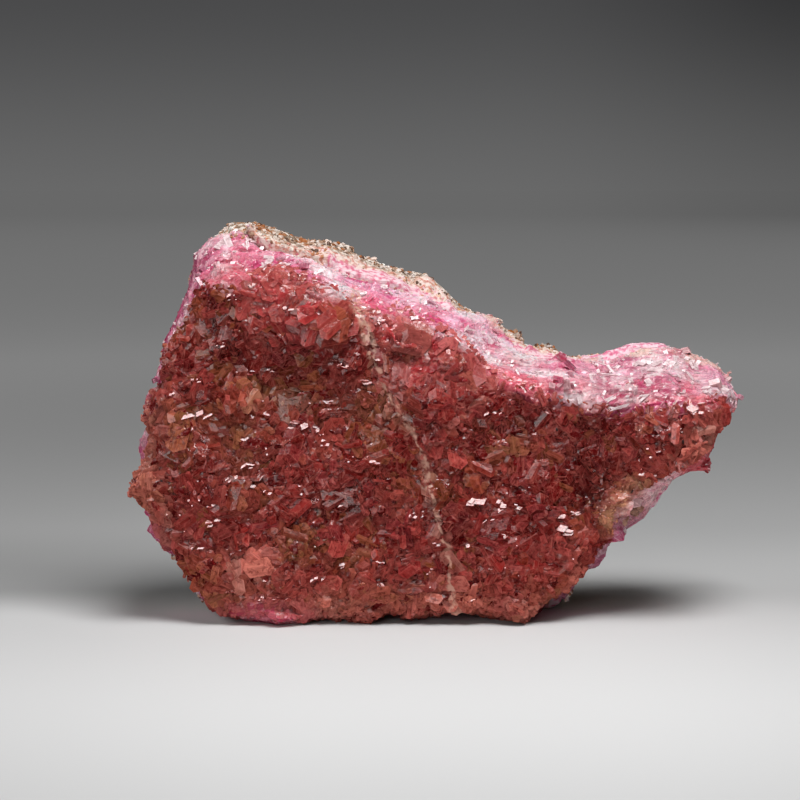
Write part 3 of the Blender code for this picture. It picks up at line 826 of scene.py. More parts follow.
def side_tint(colour, points, normals, steepest):
    """Tints of the sides that face down or show beside the face: violet, magenta on the left, pale
    pink with a gold patch on the right, painted paler than the side's own pink to stand in for the
    light it lacks, red under the right tip, and rose at the foot."""
    low = np.maximum(step(-normals[:, 2], 0.0, steepest), side_strip(points))
    column, row = projected(points)
    goal = shifted(
        VIOLET,
        (MAGENTA, 0.6 * step(-column, -300, -250)),
        (SIDE_PINK, step(column, 600, 632) * step(-row, -526, -508)),
        (LIT_RED, step(column, 672, 686) * step(-row, -482, -472) * step(row, 392, 404)),
        (OCHRE, 0.8 * spots(points, SIDE_GOLD, projected)),
        (FOOT_ROSE, step(column, 222, 236) * step(row, 590, 600)))
    return towards(colour, goal, 0.85 * low)


def pink_tint(places, normals, rng):
    """Tints of single crystals on the breaks, each a little off the band that it lies in."""
    count = len(places)
    palette = np.array([ROSE, MILK_PINK, MILK, MAGENTA])
    drawn = rng.choice(len(palette), count, p=(0.24, 0.36, 0.32, 0.08))
    own_share = rng.uniform(0.1, 0.6, count) * (1 - 0.6 * step(seen_at(places)[0], 575, 615))
    colour = towards(band_tint(places), palette[drawn], own_share)
    colour = side_tint(colour, places, normals, 0.6)
    return np.column_stack([colour, rng.uniform(0.0, 0.35, count)])


print("in its middle the broken top is", band_tint(np.array([[0.0, 0.0, 60 * MM]]))[0].round(2))

# %% [markdown]
# ## Finishes for calcite
#
# A crystal face is glassy, but the crystal under it is clear in one place and milky in the
# next. Two shaders are mixed for that: a clear one that lets light through to what lies
# behind, and a milky one that scatters it. Fine steps run along each crystal, from noise that is
# stretched along its own edges, and they tilt the surface a little with a Bump node.

# %% Patterns in the calcite
def vein_mask(tree, place):
    """1 on the pale vein, 0 away from it. A curve gives the vein's column for each row."""
    column = PICTURE_MIDDLE + (tree.part(place, 0) / MM - FACE_SHIFT[0]) / PIXEL
    row = PICTURE_FLOOR - tree.part(place, 2) / MM / PIXEL
    curve = tree.tree.nodes.new("ShaderNodeFloatCurve")
    points = curve.mapping.curves[0].points
    for _ in VEIN[2:]:
        points.new(0.5, 0.5)
    for point, (at_column, at_row) in zip(points, VEIN):
        point.location = (at_row / PICTURE_SIZE, at_column / PICTURE_SIZE)
    curve.mapping.update()
    tree.put(curve.inputs["Value"], row / PICTURE_SIZE)
    wander = tree.noise(place, 3 * MM, 4.0) - 0.5
    middle = Value(tree, curve.outputs[0]) * PICTURE_SIZE
    away = tree.maths("ABSOLUTE", column - middle + wander * 16)
    broken = tree.between(tree.noise(place, 1.2 * MM, 3.0), 0.38, 0.56)
    inside = tree.between(row, VEIN[0][1], VEIN[0][1] + 12)
    swollen = tree.between(tree.noise(place, 5 * MM, 1.0), 0.5, 0.7) * 6
    width = 2.2 + swollen + 5 * (1 - tree.between(row, 310, 360))
    return tree.between(away / width, 1.0, 0.25) * broken * inside


def off_edges(tree, corner):
    """0 on the edges of a rhomb's face, 1 in its middle. Of the three values 1 - |2u - 1|, one is
    0 all over the face, and the answer is the smaller of the two others."""
    a, b, c = (1 - tree.maths("ABSOLUTE", tree.part(corner, k) * 2 - 1) for k in range(3))
    first = tree.maths("MAXIMUM", tree.maths("MINIMUM", a, b), tree.maths("MINIMUM", b, c))
    return tree.maths("MAXIMUM", first, tree.maths("MINIMUM", a, c))


def panes(tree, place, colour, veil_tint):
    """The colour broken into straight-edged panes, 2 to 3 mm across, some deeper than others, with
    pale cracks between them, as in split calcite."""
    cells = {"Vector": tree.scaled(place, (0.6, 1.0, 1.0)), "Scale": 1 / (2.4 * MM)}
    border = tree.add("TexVoronoi", {"feature": "DISTANCE_TO_EDGE"}, cells)
    shade = tree.part(tree.add("TexVoronoi", None, cells, "Color"), 0)
    colour = tree.mix(0.5 * tree.between(shade, 0.5, 0.9), colour, (0.92, 0.5, 0.66), "MULTIPLY")
    colour = tree.mix(0.5 * tree.between(shade, 0.35, 0.1), colour, veil_tint)
    cracks = tree.between(border, 0.07, 0.0) * tree.between(tree.noise(place, 2 * MM), 0.4, 0.6)
    return tree.mix(0.8 * cracks, colour, veil_tint)


print("the vein's curve has", len(VEIN), "points")

# %% The calcite finish
CALCITE_IOR = 1.55
FACE_VEIL = paint(204, 112, 100)
BODY_VEIL = paint(244, 214, 216)


def calcite_finish(name, roughness, transmission, depth, break_veil=None, of_rhombs=True):
    """Glassy calcite that reads its tint, its clearness and its local places from the mesh. Depth
    is how dark the places are where a look goes deep into the crystal. On the breaks the pale veil
    is half the tint and half break_veil. Without rhombs it is the finish of the crust's body, with
    panes instead of edges and with light scattered inside."""
    tree = Tree(bpy.data.materials.new(name))
    tint = tree.attribute("tint")
    clear = tree.attribute("tint", "Alpha")
    local = tree.attribute("local", "Vector")
    place = tree.place()
    stretch = (0.4, 1.8, 4.0) if of_rhombs else (0.7, 1.4, 2.0)
    steps = tree.noise(tree.scaled(local, stretch), 1.0, 4.0, 0.5)
    veil = tree.noise(local, 1.1, 5.0, 0.8)
    milky = tree.between(veil, 0.45, 0.7)
    veil_tint = FACE_VEIL if break_veil is None else tree.mix(0.5, tint, break_veil)
    if not of_rhombs:
        veil_tint = tree.mix(tree.attribute("front", "Fac"), veil_tint, FACE_VEIL)
    colour = tree.mix(0.3 * milky, tint, veil_tint)
    if not of_rhombs:
        colour = panes(tree, place, colour, veil_tint)
    feathers = tree.noise(place, 1.0 * MM, 6.0, 0.8)
    deep = depth * tree.between(feathers, 0.47, 0.68)
    colour = tree.mix(deep, colour, (0.36, 0.2, 0.2), "MULTIPLY")
    threads = tree.between(tree.maths("ABSOLUTE", feathers - 0.44), 0.03, 0.0)
    colour = tree.mix(0.25 * threads, colour, veil_tint)
    colour = tree.mix(0.6 * tree.between(steps, 0.48, 0.62), colour, (0.68, 0.52, 0.54), "MULTIPLY")
    if of_rhombs:
        lines = tree.noise(tree.scaled(local, (0.25, 1.5, 3.5)), 1.0, 3.0, 0.4)
        colour = tree.mix(0.5 * tree.between(lines, 0.57, 0.63), colour, veil_tint)
        # Each face is painted darker towards its middle and paler at its edges, as if light shone through
        # the edges and caught them: painted light and shade
        inwards = off_edges(tree, tree.attribute("corner", "Vector"))
        colour = tree.mix(0.4 * tree.between(inwards, 0.1, 0.7), colour, (0.62, 0.5, 0.5), "MULTIPLY")
        painted_edge_highlight = tree.between(inwards + 0.2 * (veil - 0.5), 0.12, 0.0)
        colour = tree.mix(0.3 * painted_edge_highlight, colour, veil_tint)
    if break_veil is None or not of_rhombs:
        vein = vein_mask(tree, place)
        colour = tree.mix(0.85 * vein, colour, PALE)
        clear = clear * (1 - 0.8 * vein)
    height = steps + 1.6 * tree.noise(place, 0.7 * MM, 3.0)
    rough = roughness + 0.2 * tree.between(veil, 0.5, 0.72)
    glassy = {"Normal": tree.bump(0.6, 0.07 * MM, height), "IOR": CALCITE_IOR}
    scattering = {"Subsurface Weight": 0.0 if of_rhombs else 0.4, "Subsurface Radius": (1.0, 0.45, 0.5),
                  "Subsurface Scale": 1.2 * MM}
    milk = tree.principled(colour, rough, {**glassy, **scattering})
    glass = tree.principled(colour, rough, {**glassy, "Transmission Weight": transmission})
    tree.show(tree.add("MixShader", None, {0: clear * (1 - 0.6 * milky), 1: milk, 2: glass}))
    return tree.owner


druse_finish = calcite_finish("calcite_druse", 0.07, 0.85, 0.85)
smooth_finish = calcite_finish("calcite_swelling", 0.1, 0.6, 0.5)
pink_finish = calcite_finish("calcite_broken", 0.16, 0.6, 0.35, MILK)
body_finish = calcite_finish("calcite_body", 0.22, 0.0, 0.35, BODY_VEIL, of_rhombs=False)
print("finishes:", [m.name for m in (druse_finish, smooth_finish, pink_finish, body_finish)])

# %% [markdown]
# ## The body of the crust
#
# What shows between the crystals is the inside of the crust: deep maroon behind the face, and
# milky pink under the broken top. The solid is copied with an even fine mesh, and that mesh is
# broken into small planes. Each point takes the plane of the nearest of many random seeds, so
# the surface steps where two planes meet, as split calcite does.

# %% Crust body
def welded(corners):
    """Points and faces of a triangle soup, with equal corners made one."""
    points, index = np.unique(np.round(corners.reshape(-1, 3), 7), axis=0, return_inverse=True)
    faces = index.reshape(-1, 3)
    whole = (faces != np.roll(faces, 1, axis=1)).all(axis=1)
    return points, faces[whole]


def fine_copy(name, corners, voxel):
    """A copy of a solid with an even mesh of small squares, and its points and normals."""
    points, faces = welded(corners)
    mesh = bpy.data.meshes.new(name)
    mesh.from_pydata(points.tolist(), [], faces.tolist())
    thing = linked(name, mesh)
    even = thing.modifiers.new("even", "REMESH")
    even.mode = "VOXEL"
    even.voxel_size = voxel
    bpy.context.view_layer.update()
    fine = bpy.data.meshes.new_from_object(thing.evaluated_get(bpy.context.evaluated_depsgraph_get()))
    thing.modifiers.clear()
    thing.data = fine
    print(name, "has", len(fine.polygons), "faces")
    return thing, coordinates(fine.vertices, "co"), coordinates(fine.vertices, "normal")


def small_planes(points, size, tilt, seed):
    """Heights, in units of size, of the plane a + g . d of the nearest seed, where d is the way
    from the seed to the point. Each cell of a cubic grid holds one seed, at a random place in it."""
    table = np.random.default_rng(seed).random((TABLE_ROWS, 7))
    q = points / size
    cell = np.floor(q).astype(np.int64)
    nearest = np.full(len(points), np.inf)
    height = np.zeros(len(points))
    for offset in np.ndindex(3, 3, 3):
        c = cell + offset - 1
        row = table[row_of(c)]
        way = q - c - row[:, :3]
        distance = np.einsum("ni,ni->n", way, way)
        plane = 0.3 * row[:, 3] + tilt * np.einsum("ni,ni->n", way, row[:, 4:] - 0.5)
        closer = distance < nearest
        nearest = np.where(closer, distance, nearest)
        height = np.where(closer, plane, height)
    return height


def moved(thing, points):
    """Moves an object's points to new places, none below the floor."""
    points[:, 2] = np.maximum(points[:, 2], 0.0)
    thing.data.vertices.foreach_set("co", points.ravel())
    thing.data.update()


body, points, normals = fine_copy("crust_body", crust_triangles, 0.5 * MM)
long_planes = small_planes(points * (0.6, 1, 1), 2.8 * MM, 0.8, 31) * 2.8
chips = small_planes(points, 0.9 * MM, 0.9, 32) * 0.9
outer = 1 - step(normals[:, 1], 0.5, 0.9)
above_floor = step(points[:, 2], 0.0, 1.5 * MM)
room = 0.3 + 0.7 * step(from_outline(points), 0.8 * MM, 3 * MM)
height = (0.5 * long_planes + 0.35 * chips - 0.25) * room * outer * above_floor
front = (1 - behind_face(points)) * (1 - step(above_face(points), -24, -2)) * (1 - side_strip(points))
maroon = shifted(
    MAROON * (0.75 + 0.4 * cloud(points, 4 * MM, 33))[:, None],
    # Painted light: the swellings are redder, as lit from above
    (LIT_RED, 0.7 * lit_zone(points)),
    (FOOT_ROSE, 0.9 * spots(points, PINK_FOOT)),
    (GOLD, 0.6 * spots(points, GOLD_PATCH)))
tint = towards(side_tint(band_tint(points), points, normals, 0.5), maroon, front)
tint = np.column_stack([tint, np.zeros(len(tint))])
moved(body, points + normals * (height * MM)[:, None])
add_layers(body.data, tint=tint, local=points / MM, front=front[:, None])
finished(body, body_finish)
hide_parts("calcite_crust")

# %% [markdown]
# ## The druse on the face
#
# The face is a jumble of thin rhombs: slabs and laths 3 to 4 mm long that lie nearly flat, and
# blades between them that stick out a little. Neighbours in one domain lie nearly parallel, as
# parts of one crystal do. The two swellings under the top, whose tints are painted lighter as lit
# from above, and the pink foot are smoother, so they have crystals of their own, with a finish
# that lets less light through.

# %% Axes and sizes of face crystals
def face_axes(places, normals, loose, rng):
    """Axes near the front direction, tilted together within 7 mm domains and each by itself, and
    upwards where the face rounds over to the top."""
    domain = domains(places, 7 * MM)
    together = random_units(domain.max() + 1, rng)[domain]
    single = random_units(len(places), rng)
    upwards = np.maximum(0.6 * lit_zone(places), 1.1 * rounded_over(places))
    axes = np.array([0.0, -1.0, 0.0]) + 0.3 * normals + upwards[:, None] * (0.0, 0.0, 1.0)
    tilt = 0.32 * (1 - 0.6 * smooth_zone(places))
    return unit(axes + tilt[:, None] * together + loose[:, None] * single)


def sized(places, length, spread, widths, rng):
    """Edge lengths around a length, with the two others as shares of it. A rhomb reaches about
    one edge length sideways, so it is kept small near the outline and the face's upper edge."""
    count = len(places)
    longest = length * np.exp(rng.normal(0, spread, count))
    below_edge = np.maximum(-above_face(places), 0) * PIXEL * MM
    off_side = np.maximum(from_outline(places) - strip_width(places) * MM, 0)
    longest = np.minimum(longest, 0.5 * MM + 0.6 * np.minimum(off_side, below_edge))
    shares = np.column_stack([np.ones(count), rng.uniform(*widths, count), rng.uniform(*widths, count)])
    return longest[:, None] * shares


def half_way(places):
    """The normal that mirrors the key lamp to the camera: the middle of the ways to the two."""
    return unit(unit(EYE - places) + unit(np.array(KEY_PLACE) - places))


def flashing(places, edges):
    """Whether one of a rhomb's faces lies within 9 degrees of the mirroring normal."""
    faces = unit(np.cross(edges, np.roll(edges, -1, axis=1)))
    aligned = np.abs(np.einsum("nki,ni->nk", faces, half_way(places))).max(axis=1)
    return aligned > np.cos(np.radians(9))


print("faces flash near the normal", half_way(np.array([[0.0, FACE_DEPTH, 40.0]]) * MM)[0].round(2))

# %% Druse
rng = np.random.default_rng(7)


def druse_group(spacing, length, spread, widths, loose, lean, stand, wanted):
    """One group of face crystals: corners, edges and tints. The spacing, the length and the two
    heights to stand at are in mm, and the lean in radians. Large crystals that would flash as a
    whole are left out, because the photo's bright faces are small."""
    places, normals = scatter(crust_triangles, spacing * MM, wanted, rng)
    lengths = sized(places, length * MM, spread, widths, rng)
    axes = face_axes(places, normals, rng.uniform(*loose, len(places)), rng)
    turned = random_units(len(places), rng)
    edges = outward(rhomb_edges(axes, turned, rng.uniform(*lean, len(places)), lengths))
    kept = ~(flashing(places, edges) & (lengths[:, 0] > 1.6 * MM))
    places, normals, edges = places[kept], normals[kept], edges[kept]
    up = unit(0.7 * normals + np.array([0.0, -0.7, 0.0]))
    height = rng.uniform(stand[0] * MM, stand[1] * MM, len(places))
    height = height * np.minimum(1, from_outline(places) / (3 * MM))
    return stood_on(places, up, edges, height), edges, face_tint(places, height, rng)


def off_smooth(places, normals):
    """Wanted on the face, but rarely in its smooth zones."""
    return on_face(places, normals) * (1 - 0.9 * step(smooth_zone(places), 0.3, 0.6))


def in_patches(places, normals):
    """Wanted on the face in patches of about 8 mm."""
    return off_smooth(places, normals) * step(cloud(places, 8 * MM, 75), 0.15, 0.45)


def in_smooth_zone(places, normals):
    return on_face(places, normals) * step(smooth_zone(places), 0.3, 0.6)


crystals("druse", (
    druse_group(3.2, 3.8, 0.2, (0.25, 0.6), (0.02, 0.16), (1.42, 1.51), (0.3, 0.6), off_smooth),
    druse_group(2.1, 3.4, 0.25, (0.18, 0.5), (0.03, 0.22), (1.4, 1.5), (0.15, 0.6), off_smooth),
    druse_group(2.3, 4.4, 0.3, (0.12, 0.28), (0.1, 0.5), (1.3, 1.48), (0.3, 0.7), off_smooth),
    druse_group(1.0, 1.1, 0.3, (0.4, 0.9), (0.1, 0.8), (1.2, 1.4), (0.1, 0.45), in_patches),
), druse_finish)
crystals("druse_swellings", (
    druse_group(1.7, 3.8, 0.25, (0.3, 0.8), (0.02, 0.18), (1.48, 1.53), (0.3, 0.55), in_smooth_zone),
), smooth_finish)

# %% [markdown]
# ### Glints and flakes
#
# A flat crystal face sends the lamp's light to the camera where its normal lies halfway between
# the ways to the two. The photo has such bright faces at about seventy places, so three thin
# slivers near that normal are set at each, and tiny sparkles in patches between them. On the
# pink top lie white flakes of broken calcite, two slivers at each place of the photo, and frost.

# %% Where they are
# Columns, rows, widths and heights in the picture
GLINTS = (
    (229, 297, 8, 3), (251, 284, 8, 4), (286, 309, 8, 3), (334, 336, 12, 4), (348, 333, 8, 4),
    (381, 314, 10, 5), (382, 322, 5, 3), (222, 346, 6, 2), (252, 371, 9, 5), (267, 371, 5, 3),
    (293, 376, 6, 2), (342, 367, 8, 2), (365, 384, 12, 2), (197, 381, 6, 2), (199, 414, 22, 4),
    (250, 418, 5, 4), (266, 416, 9, 3), (305, 394, 12, 2), (326, 401, 14, 3), (293, 428, 12, 7),
    (401, 354, 7, 2), (381, 360, 8, 1.5), (432, 426, 6, 3), (318, 429, 6, 4), (534, 436, 4, 3),
    (542, 410, 5, 2), (599, 479, 9, 4), (599, 491, 9, 3), (586, 499, 4, 2), (477, 505, 13, 7),
    (501, 506, 8, 6), (518, 507, 7, 4), (631, 386, 8, 5), (695, 412, 11, 8), (493, 412, 10, 2),
    (560, 516, 10, 4), (569, 531, 12, 7), (576, 512, 10, 3), (488, 520, 8, 2), (508, 536, 8, 2),
    (373, 461, 8, 3), (341, 507, 7, 3), (413, 516, 9, 4), (421, 515, 5, 3), (443, 510, 6, 2),
    (467, 546, 6, 4), (434, 544, 5, 2), (344, 566, 7, 3), (318, 578, 6, 3), (380, 563, 6, 2),
    (431, 572, 5, 3), (535, 608, 9, 3), (303, 437, 9, 2), (325, 445, 6, 3), (322, 432, 6, 2),
    (243, 438, 6, 2), (248, 467, 12, 2), (236, 478, 5, 3), (254, 488, 9, 3), (267, 492, 5, 3),
    (214, 506, 6, 4), (211, 522, 9, 4), (228, 481, 6, 2), (236, 551, 9, 3), (196, 549, 9, 2),
    (266, 577, 8, 5), (290, 598, 18, 4), (236, 592, 9, 2), (259, 599, 5, 2), (172, 395, 4, 3),
)
FLAKES = (
    (226, 243, 9, 26), (252, 240, 14, 5), (246, 248, 4, 12), (269, 262, 6, 12), (288, 266, 14, 5),
    (209, 254, 8, 7), (207, 284, 7, 3), (219, 264, 3, 9), (262, 268, 3, 14), (611, 372, 3, 26),
    (592, 378, 4, 16), (641, 362, 16, 7), (660, 366, 12, 9), (616, 386, 8, 6), (631, 384, 5, 8),
    (620, 399, 22, 3), (640, 397, 14, 3), (578, 397, 5, 9), (603, 396, 4, 8), (709, 390, 9, 4),
    (488, 357, 4, 8), (517, 372, 3, 9), (383, 288, 8, 5), (365, 293, 7, 4), (470, 330, 12, 3),
    (540, 374, 9, 3), (676, 357, 5, 9), (318, 272, 12, 3), (345, 275, 10, 3), (415, 318, 10, 3),
    (646, 360, 18, 8), (672, 366, 16, 11), (655, 371, 14, 7), (598, 364, 18, 3), (650, 380, 7, 9),
    (634, 392, 9, 6), (612, 408, 24, 3), (690, 372, 4, 14), (704, 390, 10, 4), (724, 388, 12, 5),
    (696, 366, 5, 10), (570, 384, 12, 6),
)
# A glint's face is seen at a slant, which leaves this share of its height
FORESHORTENED = 0.75
print(len(GLINTS), "glints and", len(FLAKES), "flakes")


# %% Glints and flakes
def facing_camera(spacing, wanted):
    """Scattered places on the crust that are turned to the camera, and their normals."""
    places, normals = scatter(crust_triangles, spacing, wanted, rng)
    visible = np.einsum("ni,ni->n", normals, EYE - places) > 0.0
    return places[visible], normals[visible]


def nearest_to(column_row, places, normals):
    """The place seen nearest to each column and row, and its normal."""
    column, row = projected(places)
    x, y = column_row.T
    off = (column[None] - x[:, None]) ** 2 + (row[None] - y[:, None]) ** 2
    found = off.argmin(axis=1)
    return places[found], normals[found]


def slivers_at(table, copies, spread, smallest):
    """Some slivers around each of a table's places, as columns, rows, widths and heights."""
    slivers = np.repeat(np.array(table, float), copies, axis=0)
    slivers[:, :2] += rng.normal(0, spread, (len(slivers), 2)) * slivers[:, 2:]
    slivers[:, 2:] *= rng.uniform(smallest, 1.0, (len(slivers), 2))
    return slivers


def thin_flakes(at, facing, widths, heights, lift, tint):
    """Flakes whose broad side has the normal facing: (corners, edges, tint). They lie across
    the picture by their width and up it by their height, a little turned."""
    across = np.cross(facing, np.repeat([[0.0, 0.3, -1.0]], len(at), 0))
    across = unit(across + 0.35 * random_units(len(at), rng))
    across = unit(across - np.einsum("ni,ni->n", across, facing)[:, None] * facing)
    up = np.cross(facing, across)
    edges = np.stack([across * widths[:, None], up * heights[:, None], facing * (0.3 * MM)], axis=1)
    edges[:, 1] += 0.3 * edges[:, 0]
    edges = outward(edges)
    corners = corners_of(edges) + (at + unit(EYE - at) * lift)[:, None]
    colour = np.repeat(np.append(tint, 0.15)[None], len(at), 0)
    return corners, edges, colour


def toward_lamp(at, facing, loose):
    """Normals between the surface's and the one that mirrors the lamp, loosely."""
    return unit(facing + half_way(at) + loose * random_units(len(at), rng))


places, normals = facing_camera(0.7 * MM, lambda p, n: n[:, 1] < 0.6)

slivers = slivers_at(GLINTS, 3, 0.35, 0.35)
at = nearest_to(slivers[:, :2], places, normals)[0]
halfway = unit(half_way(at) + 0.07 * random_units(len(at), rng))
width, height = slivers[:, 2] * PIXEL * MM, slivers[:, 3] * PIXEL * MM / FORESHORTENED
glints = thin_flakes(at, halfway, 0.85 * width, 0.85 * height, 0.65 * MM, DUSTY)
clustered = 0.03 * step(cloud(places, 7 * MM, 81), 0.0, 0.4) * on_face(places, normals)
at = places[rng.random(len(places)) < clustered]
halfway = unit(half_way(at) + 0.05 * random_units(len(at), rng))
sparkles = thin_flakes(at, halfway, *(rng.uniform(0.12, 0.45, (2, len(at))) * MM), 0.75 * MM, DUSTY)
crystals("bright_faces", (glints, sparkles), druse_finish)

slivers = slivers_at(FLAKES, 2, 0.22, 0.5)
at, facing = nearest_to(slivers[:, :2], places, normals)
facing = toward_lamp(at, facing, 0.4)
flakes = thin_flakes(at, facing, *(slivers.T[2:] * PIXEL * MM), 0.4 * MM, MILK)
more_right = 0.02 + 0.03 * step(projected(places)[0], 580, 610)
frosted = rng.random(len(places)) < off_face(places, normals) * (normals[:, 2] > 0.1) * more_right
at = places[frosted]
facing = toward_lamp(at, normals[frosted], 0.5)
frost = thin_flakes(at, facing, *(rng.uniform(0.2, 1.1, (2, len(at))) * MM), 0.1 * MM, MILK)
crystals("white_flakes", (flakes, frost), pink_finish)

# %% [markdown]
# ## The broken top and sides
#
# Where the crust is broken, calcite splits along its cleavage into small steps. All the steps of
# one old crystal are parallel, so patches of them flash together. Each place takes the
# orientation of the 5 mm domain that it lies in.

# %% Cleavage chips
def chip_group(spacing, shortest, longest, stand, share):
    """One group of cleavage rhombs on the breaks, nearly parallel within a domain, sizes in mm."""
    places, normals = scatter(crust_triangles, spacing * MM, lambda p, n: share * off_face(p, n), rng)
    domain = domains(places, 5 * MM)
    axes = unit(random_units(domain.max() + 1, rng)[domain] + rng.normal(0, 0.08, places.shape))
    turned = random_units(domain.max() + 1, rng)[domain]
    lengths = rng.uniform(shortest * MM, longest * MM, (len(places), 3))
    lengths = np.minimum(lengths, (0.4 * MM + 0.6 * from_outline(places))[:, None])
    edges = outward(rhomb_edges(axes, turned, CLEAVAGE_LEAN, lengths))
    height = rng.uniform(0.0, stand * MM, len(places))
    return stood_on(places, normals, edges, height), edges, pink_tint(places, normals, rng)


coarse = chip_group(2.2, 0.8, 2.4, 0.2, 0.6)
fine = chip_group(1.2, 0.4, 1.2, 0.3, 0.25)
crystals("cleavage", (coarse, fine), pink_finish)

# %% [markdown]
# ## The host rock
#
# The rock is granular: brown, grey and cream grains with rust between them. Its solid is copied,
# given an even fine mesh, and pushed in and out by sums of smooth noise and small planes. Near
# the crust the rock is stained cream and pink, but only on top: the layer off_top keeps that
# colour off its back and its lower sides.

# %% Fine rock surface
rock, points, normals = fine_copy("rock_surface", rock_triangles, 0.62 * MM)
lumps = 0.35 * cloud(points, 3.2 * MM, 61) + 0.5 * small_planes(points, 1.6 * MM, 0.9, 62)
above_foot = step(points[:, 2], 0.2 * MM, 2.0 * MM)
at_joint = step(-normals[:, 1], 0.5, 0.9)
moved(rock, points + normals * (lumps * MM * above_foot * (1 - at_joint))[:, None])
turned_down = step(-normals[:, 2], -0.25, 0.05) * step(normals[:, 1], -0.5, -0.1)
off_top = np.maximum(step(normals[:, 1], 0.3, 0.7), turned_down)
add_layers(rock.data, off_top=off_top[:, None])


# %% Rock finish
def rock_colour(stone, place):
    """Brown to grey patches, cream and dark specks, rust, and a cream and pink band by the joint."""
    patches = stone.noise(place, 5 * MM, 4.0)
    cells = stone.add("TexVoronoi", None, {"Vector": place, "Scale": 1 / (0.9 * MM)}, "Color")
    speck = stone.part(cells, 0) + stone.noise(place, 0.5 * MM, 4.0) - 0.5
    x, deep = stone.part(place, 0), stone.part(place, 1)
    strong = 1 - 0.55 * stone.between(deep, 0.010, 0.016)
    colour = stone.mix(stone.between(patches, 0.38, 0.62), paint(132, 106, 84), paint(184, 166, 150))
    colour = stone.mix(strong * stone.between(speck, 0.5, 0.8), colour, paint(232, 218, 206))
    rusty = stone.between(stone.noise(place, 2.2 * MM, 4.0), 0.54, 0.66)
    colour = stone.mix(0.8 * rusty, colour, paint(170, 104, 54))
    colour = stone.mix(strong * stone.between(speck, 0.2, 0.05), colour, paint(104, 76, 56))
    ends = stone.between(x, 0.022, 0.034) - 0.5 * stone.between(x, -0.016, -0.028)
    mottle = stone.noise(place, 1.0 * MM, 5.0)
    cream = stone.mix(stone.between(mottle, 0.4, 0.56), paint(200, 140, 106), paint(242, 220, 206))
    pink = stone.mix(stone.between(mottle, 0.35, 0.6), paint(228, 112, 150), paint(250, 216, 226))
    cream = stone.mix(0.2 + 0.7 * stone.maths("MAXIMUM", ends, 0.0), cream, pink)
    edge = deep + (patches - 0.5) * 0.012 + (mottle - 0.5) * 0.006 - 0.009 * ends
    edge = edge + 0.014 * stone.attribute("off_top", "Fac")
    colour = stone.mix(stone.between(edge, 0.0068, 0.0038), colour, cream)
    return stone.mix(0.8 * stone.between(edge, 0.003, 0.0012), colour, pink)


stone = Tree(bpy.data.materials.new("host_rock_grains"))
place = stone.place()
grain = stone.noise(place, 0.8 * MM, 3.0)
bump = stone.bump(0.7, 0.25 * MM, grain)
stone.show(stone.principled(rock_colour(stone, place), 0.55 + 0.3 * grain, {"Normal": bump}))
finished(rock, stone.owner)
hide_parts("host_rock")

loose = Tree(bpy.data.materials.new("grains"))
fleck = loose.noise(loose.place(), 0.5 * MM, 3.0)
shade = loose.mix(fleck, (0.75, 0.72, 0.7), 1.1)
colour = loose.mix(1.0, loose.attribute("tint"), shade, "MULTIPLY")
bump = loose.bump(0.5, 0.1 * MM, fleck)
loose.show(loose.principled(colour, 0.35 + 0.4 * fleck, {"Normal": bump}))
print("rock finishes:", stone.owner.name, loose.owner.name)

# %% [markdown]
# ### Grains
#
# Angular grains are strewn over the rock, densest along the broken top and along the line where
# the crust meets it. A grain is an icosahedron, twenty triangles, pushed out of shape by a random
# matrix. Its twelve corners are the cyclic orders of (0, 1, golden ratio) with all signs, and
# three corners make a face where all three are 2 apart.

# %% Grain shapes
GOLDEN_RATIO = (1 + 5**0.5) / 2
signs = [(a, b) for a in (-1, 1) for b in (-1, 1)]
icosa_corners = np.array([np.roll((0, a, b * GOLDEN_RATIO), k) for k in range(3) for a, b in signs])
apart = np.linalg.norm(icosa_corners[:, None] - icosa_corners[None], axis=2)
triples = np.array([t for t in np.ndindex(12, 12, 12) if t[0] < t[1] < t[2]])
near = np.abs(apart[triples, np.roll(triples, -1, axis=1)] - 2).max(axis=1) < 0.01
icosa_faces = triples[near]
turned_in = np.linalg.det(icosa_corners[icosa_faces]) < 0
icosa_faces[turned_in] = icosa_faces[turned_in][:, ::-1]
icosa_corners = unit(icosa_corners)
print("a grain has", len(icosa_faces), "faces")


def grain_group(places, normals, smallest, largest, sunk, palette, chances, rng):
    """Grains of radii between two, in mm, sunk by a share of their radius, with palette tints."""
    count = len(places)
    shape = 0.8 * np.eye(3) + rng.uniform(-0.3, 0.3, (count, 3, 3))
    radius = smallest * MM * (largest / smallest) ** rng.random(count)
    corners = np.einsum("kj,nji->nki", icosa_corners, shape) * radius[:, None, None]
    corners += (places - normals * (sunk * radius)[:, None])[:, None]
    tint = np.array(palette)[rng.choice(len(palette), count, p=chances)]
    tint = np.minimum(tint * rng.uniform(0.85, 1.15, (count, 1)), 0.95)
    return corners, np.column_stack([tint, np.zeros(count)])


def grains(name, groups):
    """Groups of grains as one object."""
    corners, tint = (np.concatenate(parts) for parts in zip(*groups))
    joined(name, corners, icosa_faces, loose.owner, "rock", tint=tint)


# %% Grains on the rock
ROCK_TINTS = (
    paint(238, 216, 204), paint(192, 154, 128), paint(178, 106, 52), paint(106, 74, 56),
    paint(246, 234, 228))
ROCK_CHANCES = (0.24, 0.22, 0.22, 0.2, 0.12)
CREAM_TINTS = (
    paint(246, 228, 216), paint(236, 196, 170), paint(250, 212, 220), paint(206, 140, 96),
    paint(150, 108, 84))
CREAM_CHANCES = (0.36, 0.24, 0.18, 0.14, 0.08)


def broken_top(places, normals):
    """1 on the rock's upward side, a fifth elsewhere, 0 on its foot and at the joint."""
    shown = (places[:, 2] > 1.2 * MM) & (normals[:, 1] > -0.9)
    return shown * (0.2 + 0.8 * step(normals[:, 2], 0.2, 0.6))


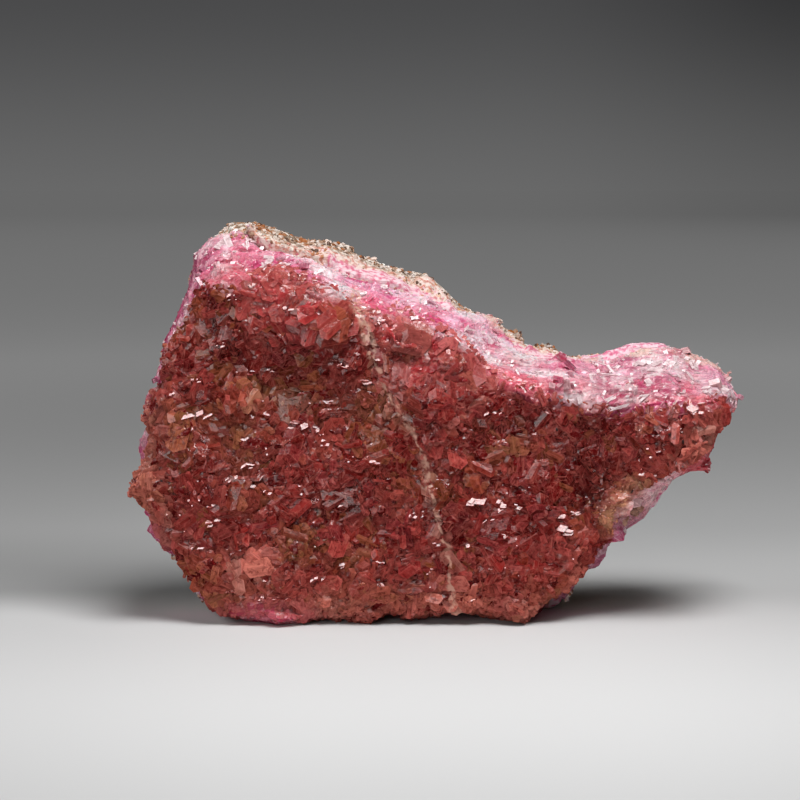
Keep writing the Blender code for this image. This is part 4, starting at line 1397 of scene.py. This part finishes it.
def rim_places(corners, spacing, rng):
    """Places along the edges between the joint's face and the faces around it."""
    points, faces = welded(corners)
    a, b, c = (points[faces[:, k]] for k in range(3))
    at_joint = np.abs(unit(np.cross(b - a, c - a))[:, 1]) > 0.9
    pairs = np.sort(faces[:, ((0, 1), (1, 2), (2, 0))], axis=2)
    keys = pairs[..., 0] * len(points) + pairs[..., 1]
    shared = np.intersect1d(keys[at_joint], keys[~at_joint])
    start, end = points[shared // len(points)], points[shared % len(points)]
    length = np.linalg.norm(end - start, axis=1)
    drawn = rng.choice(len(shared), int(length.sum() / spacing), p=length / length.sum())
    return start[drawn] + rng.random((len(drawn), 1)) * (end - start)[drawn]


rng = np.random.default_rng(11)
places, normals = scatter(rock_triangles, 0.8 * MM, broken_top, rng)
ends = 9 * step(places[:, 0], 22 * MM, 34 * MM) - 4.5 * step(-places[:, 0], 16 * MM, 28 * MM)
wavering = places[:, 1] / MM + 1.5 * cloud(places, 3 * MM, 76) - ends
places, normals, wavering = (values[wavering > 2] for values in (places, normals, wavering))
near = 1 - step(wavering, 3.5, 7) > rng.random(len(places))
on_rock = grain_group(places[~near], normals[~near], 0.3, 0.85, 0.3, ROCK_TINTS, ROCK_CHANCES, rng)
by_crust = grain_group(places[near], normals[near], 0.25, 0.7, 0.3, CREAM_TINTS, CREAM_CHANCES, rng)
places = rim_places(crust_triangles, 0.4 * MM, rng)
places = places[(places[:, 1] > -3 * MM) & (places[:, 2] > 2 * MM) & (places[:, 0] < 28 * MM)]
places = places + rng.normal(0, 0.35 * MM, places.shape) * (0, 1, 0)
upwards = np.repeat([[0.0, 0.0, 1.0]], len(places), 0)
on_rim = grain_group(places, upwards, 0.25, 0.6, 0.9, CREAM_TINTS, CREAM_CHANCES, rng)
grains("rock_grains", (on_rock, by_crust, on_rim))

# %% [markdown]
# ### Specks
#
# A few black grains sit in the face, and a knob and a crumb of the brown rock show at the
# crust's lower right edge.

# %% Specks and rock spots
SPECKS = ((259, 275), (557, 430), (670, 435), (683, 441), (162, 482), (632, 492), (306, 340))
ROCK_SPOTS = ((641, 516, 8, 5), (629, 529, 4, 4))
BLACK = (paint(46, 24, 24),)
# Lighter than the rock's own browns: partly painted light, for the dim lower right edge
BROWNS = (paint(196, 146, 124), paint(158, 112, 92))

places, normals = facing_camera(0.7 * MM, lambda p, n: n[:, 1] < 0.3)
at, facing = nearest_to(np.array(SPECKS, float), places, normals)
at = at + unit(EYE - at) * 0.7 * MM
black = grain_group(at, facing, 0.35, 0.5, 0.0, BLACK, (1.0,), rng)
at_spots = spots(places, ROCK_SPOTS) > 0.5
brown = grain_group(places[at_spots], normals[at_spots], 0.7, 1.1, 0.0, BROWNS, (0.5, 0.5), rng)
grains("specks", (black, brown))
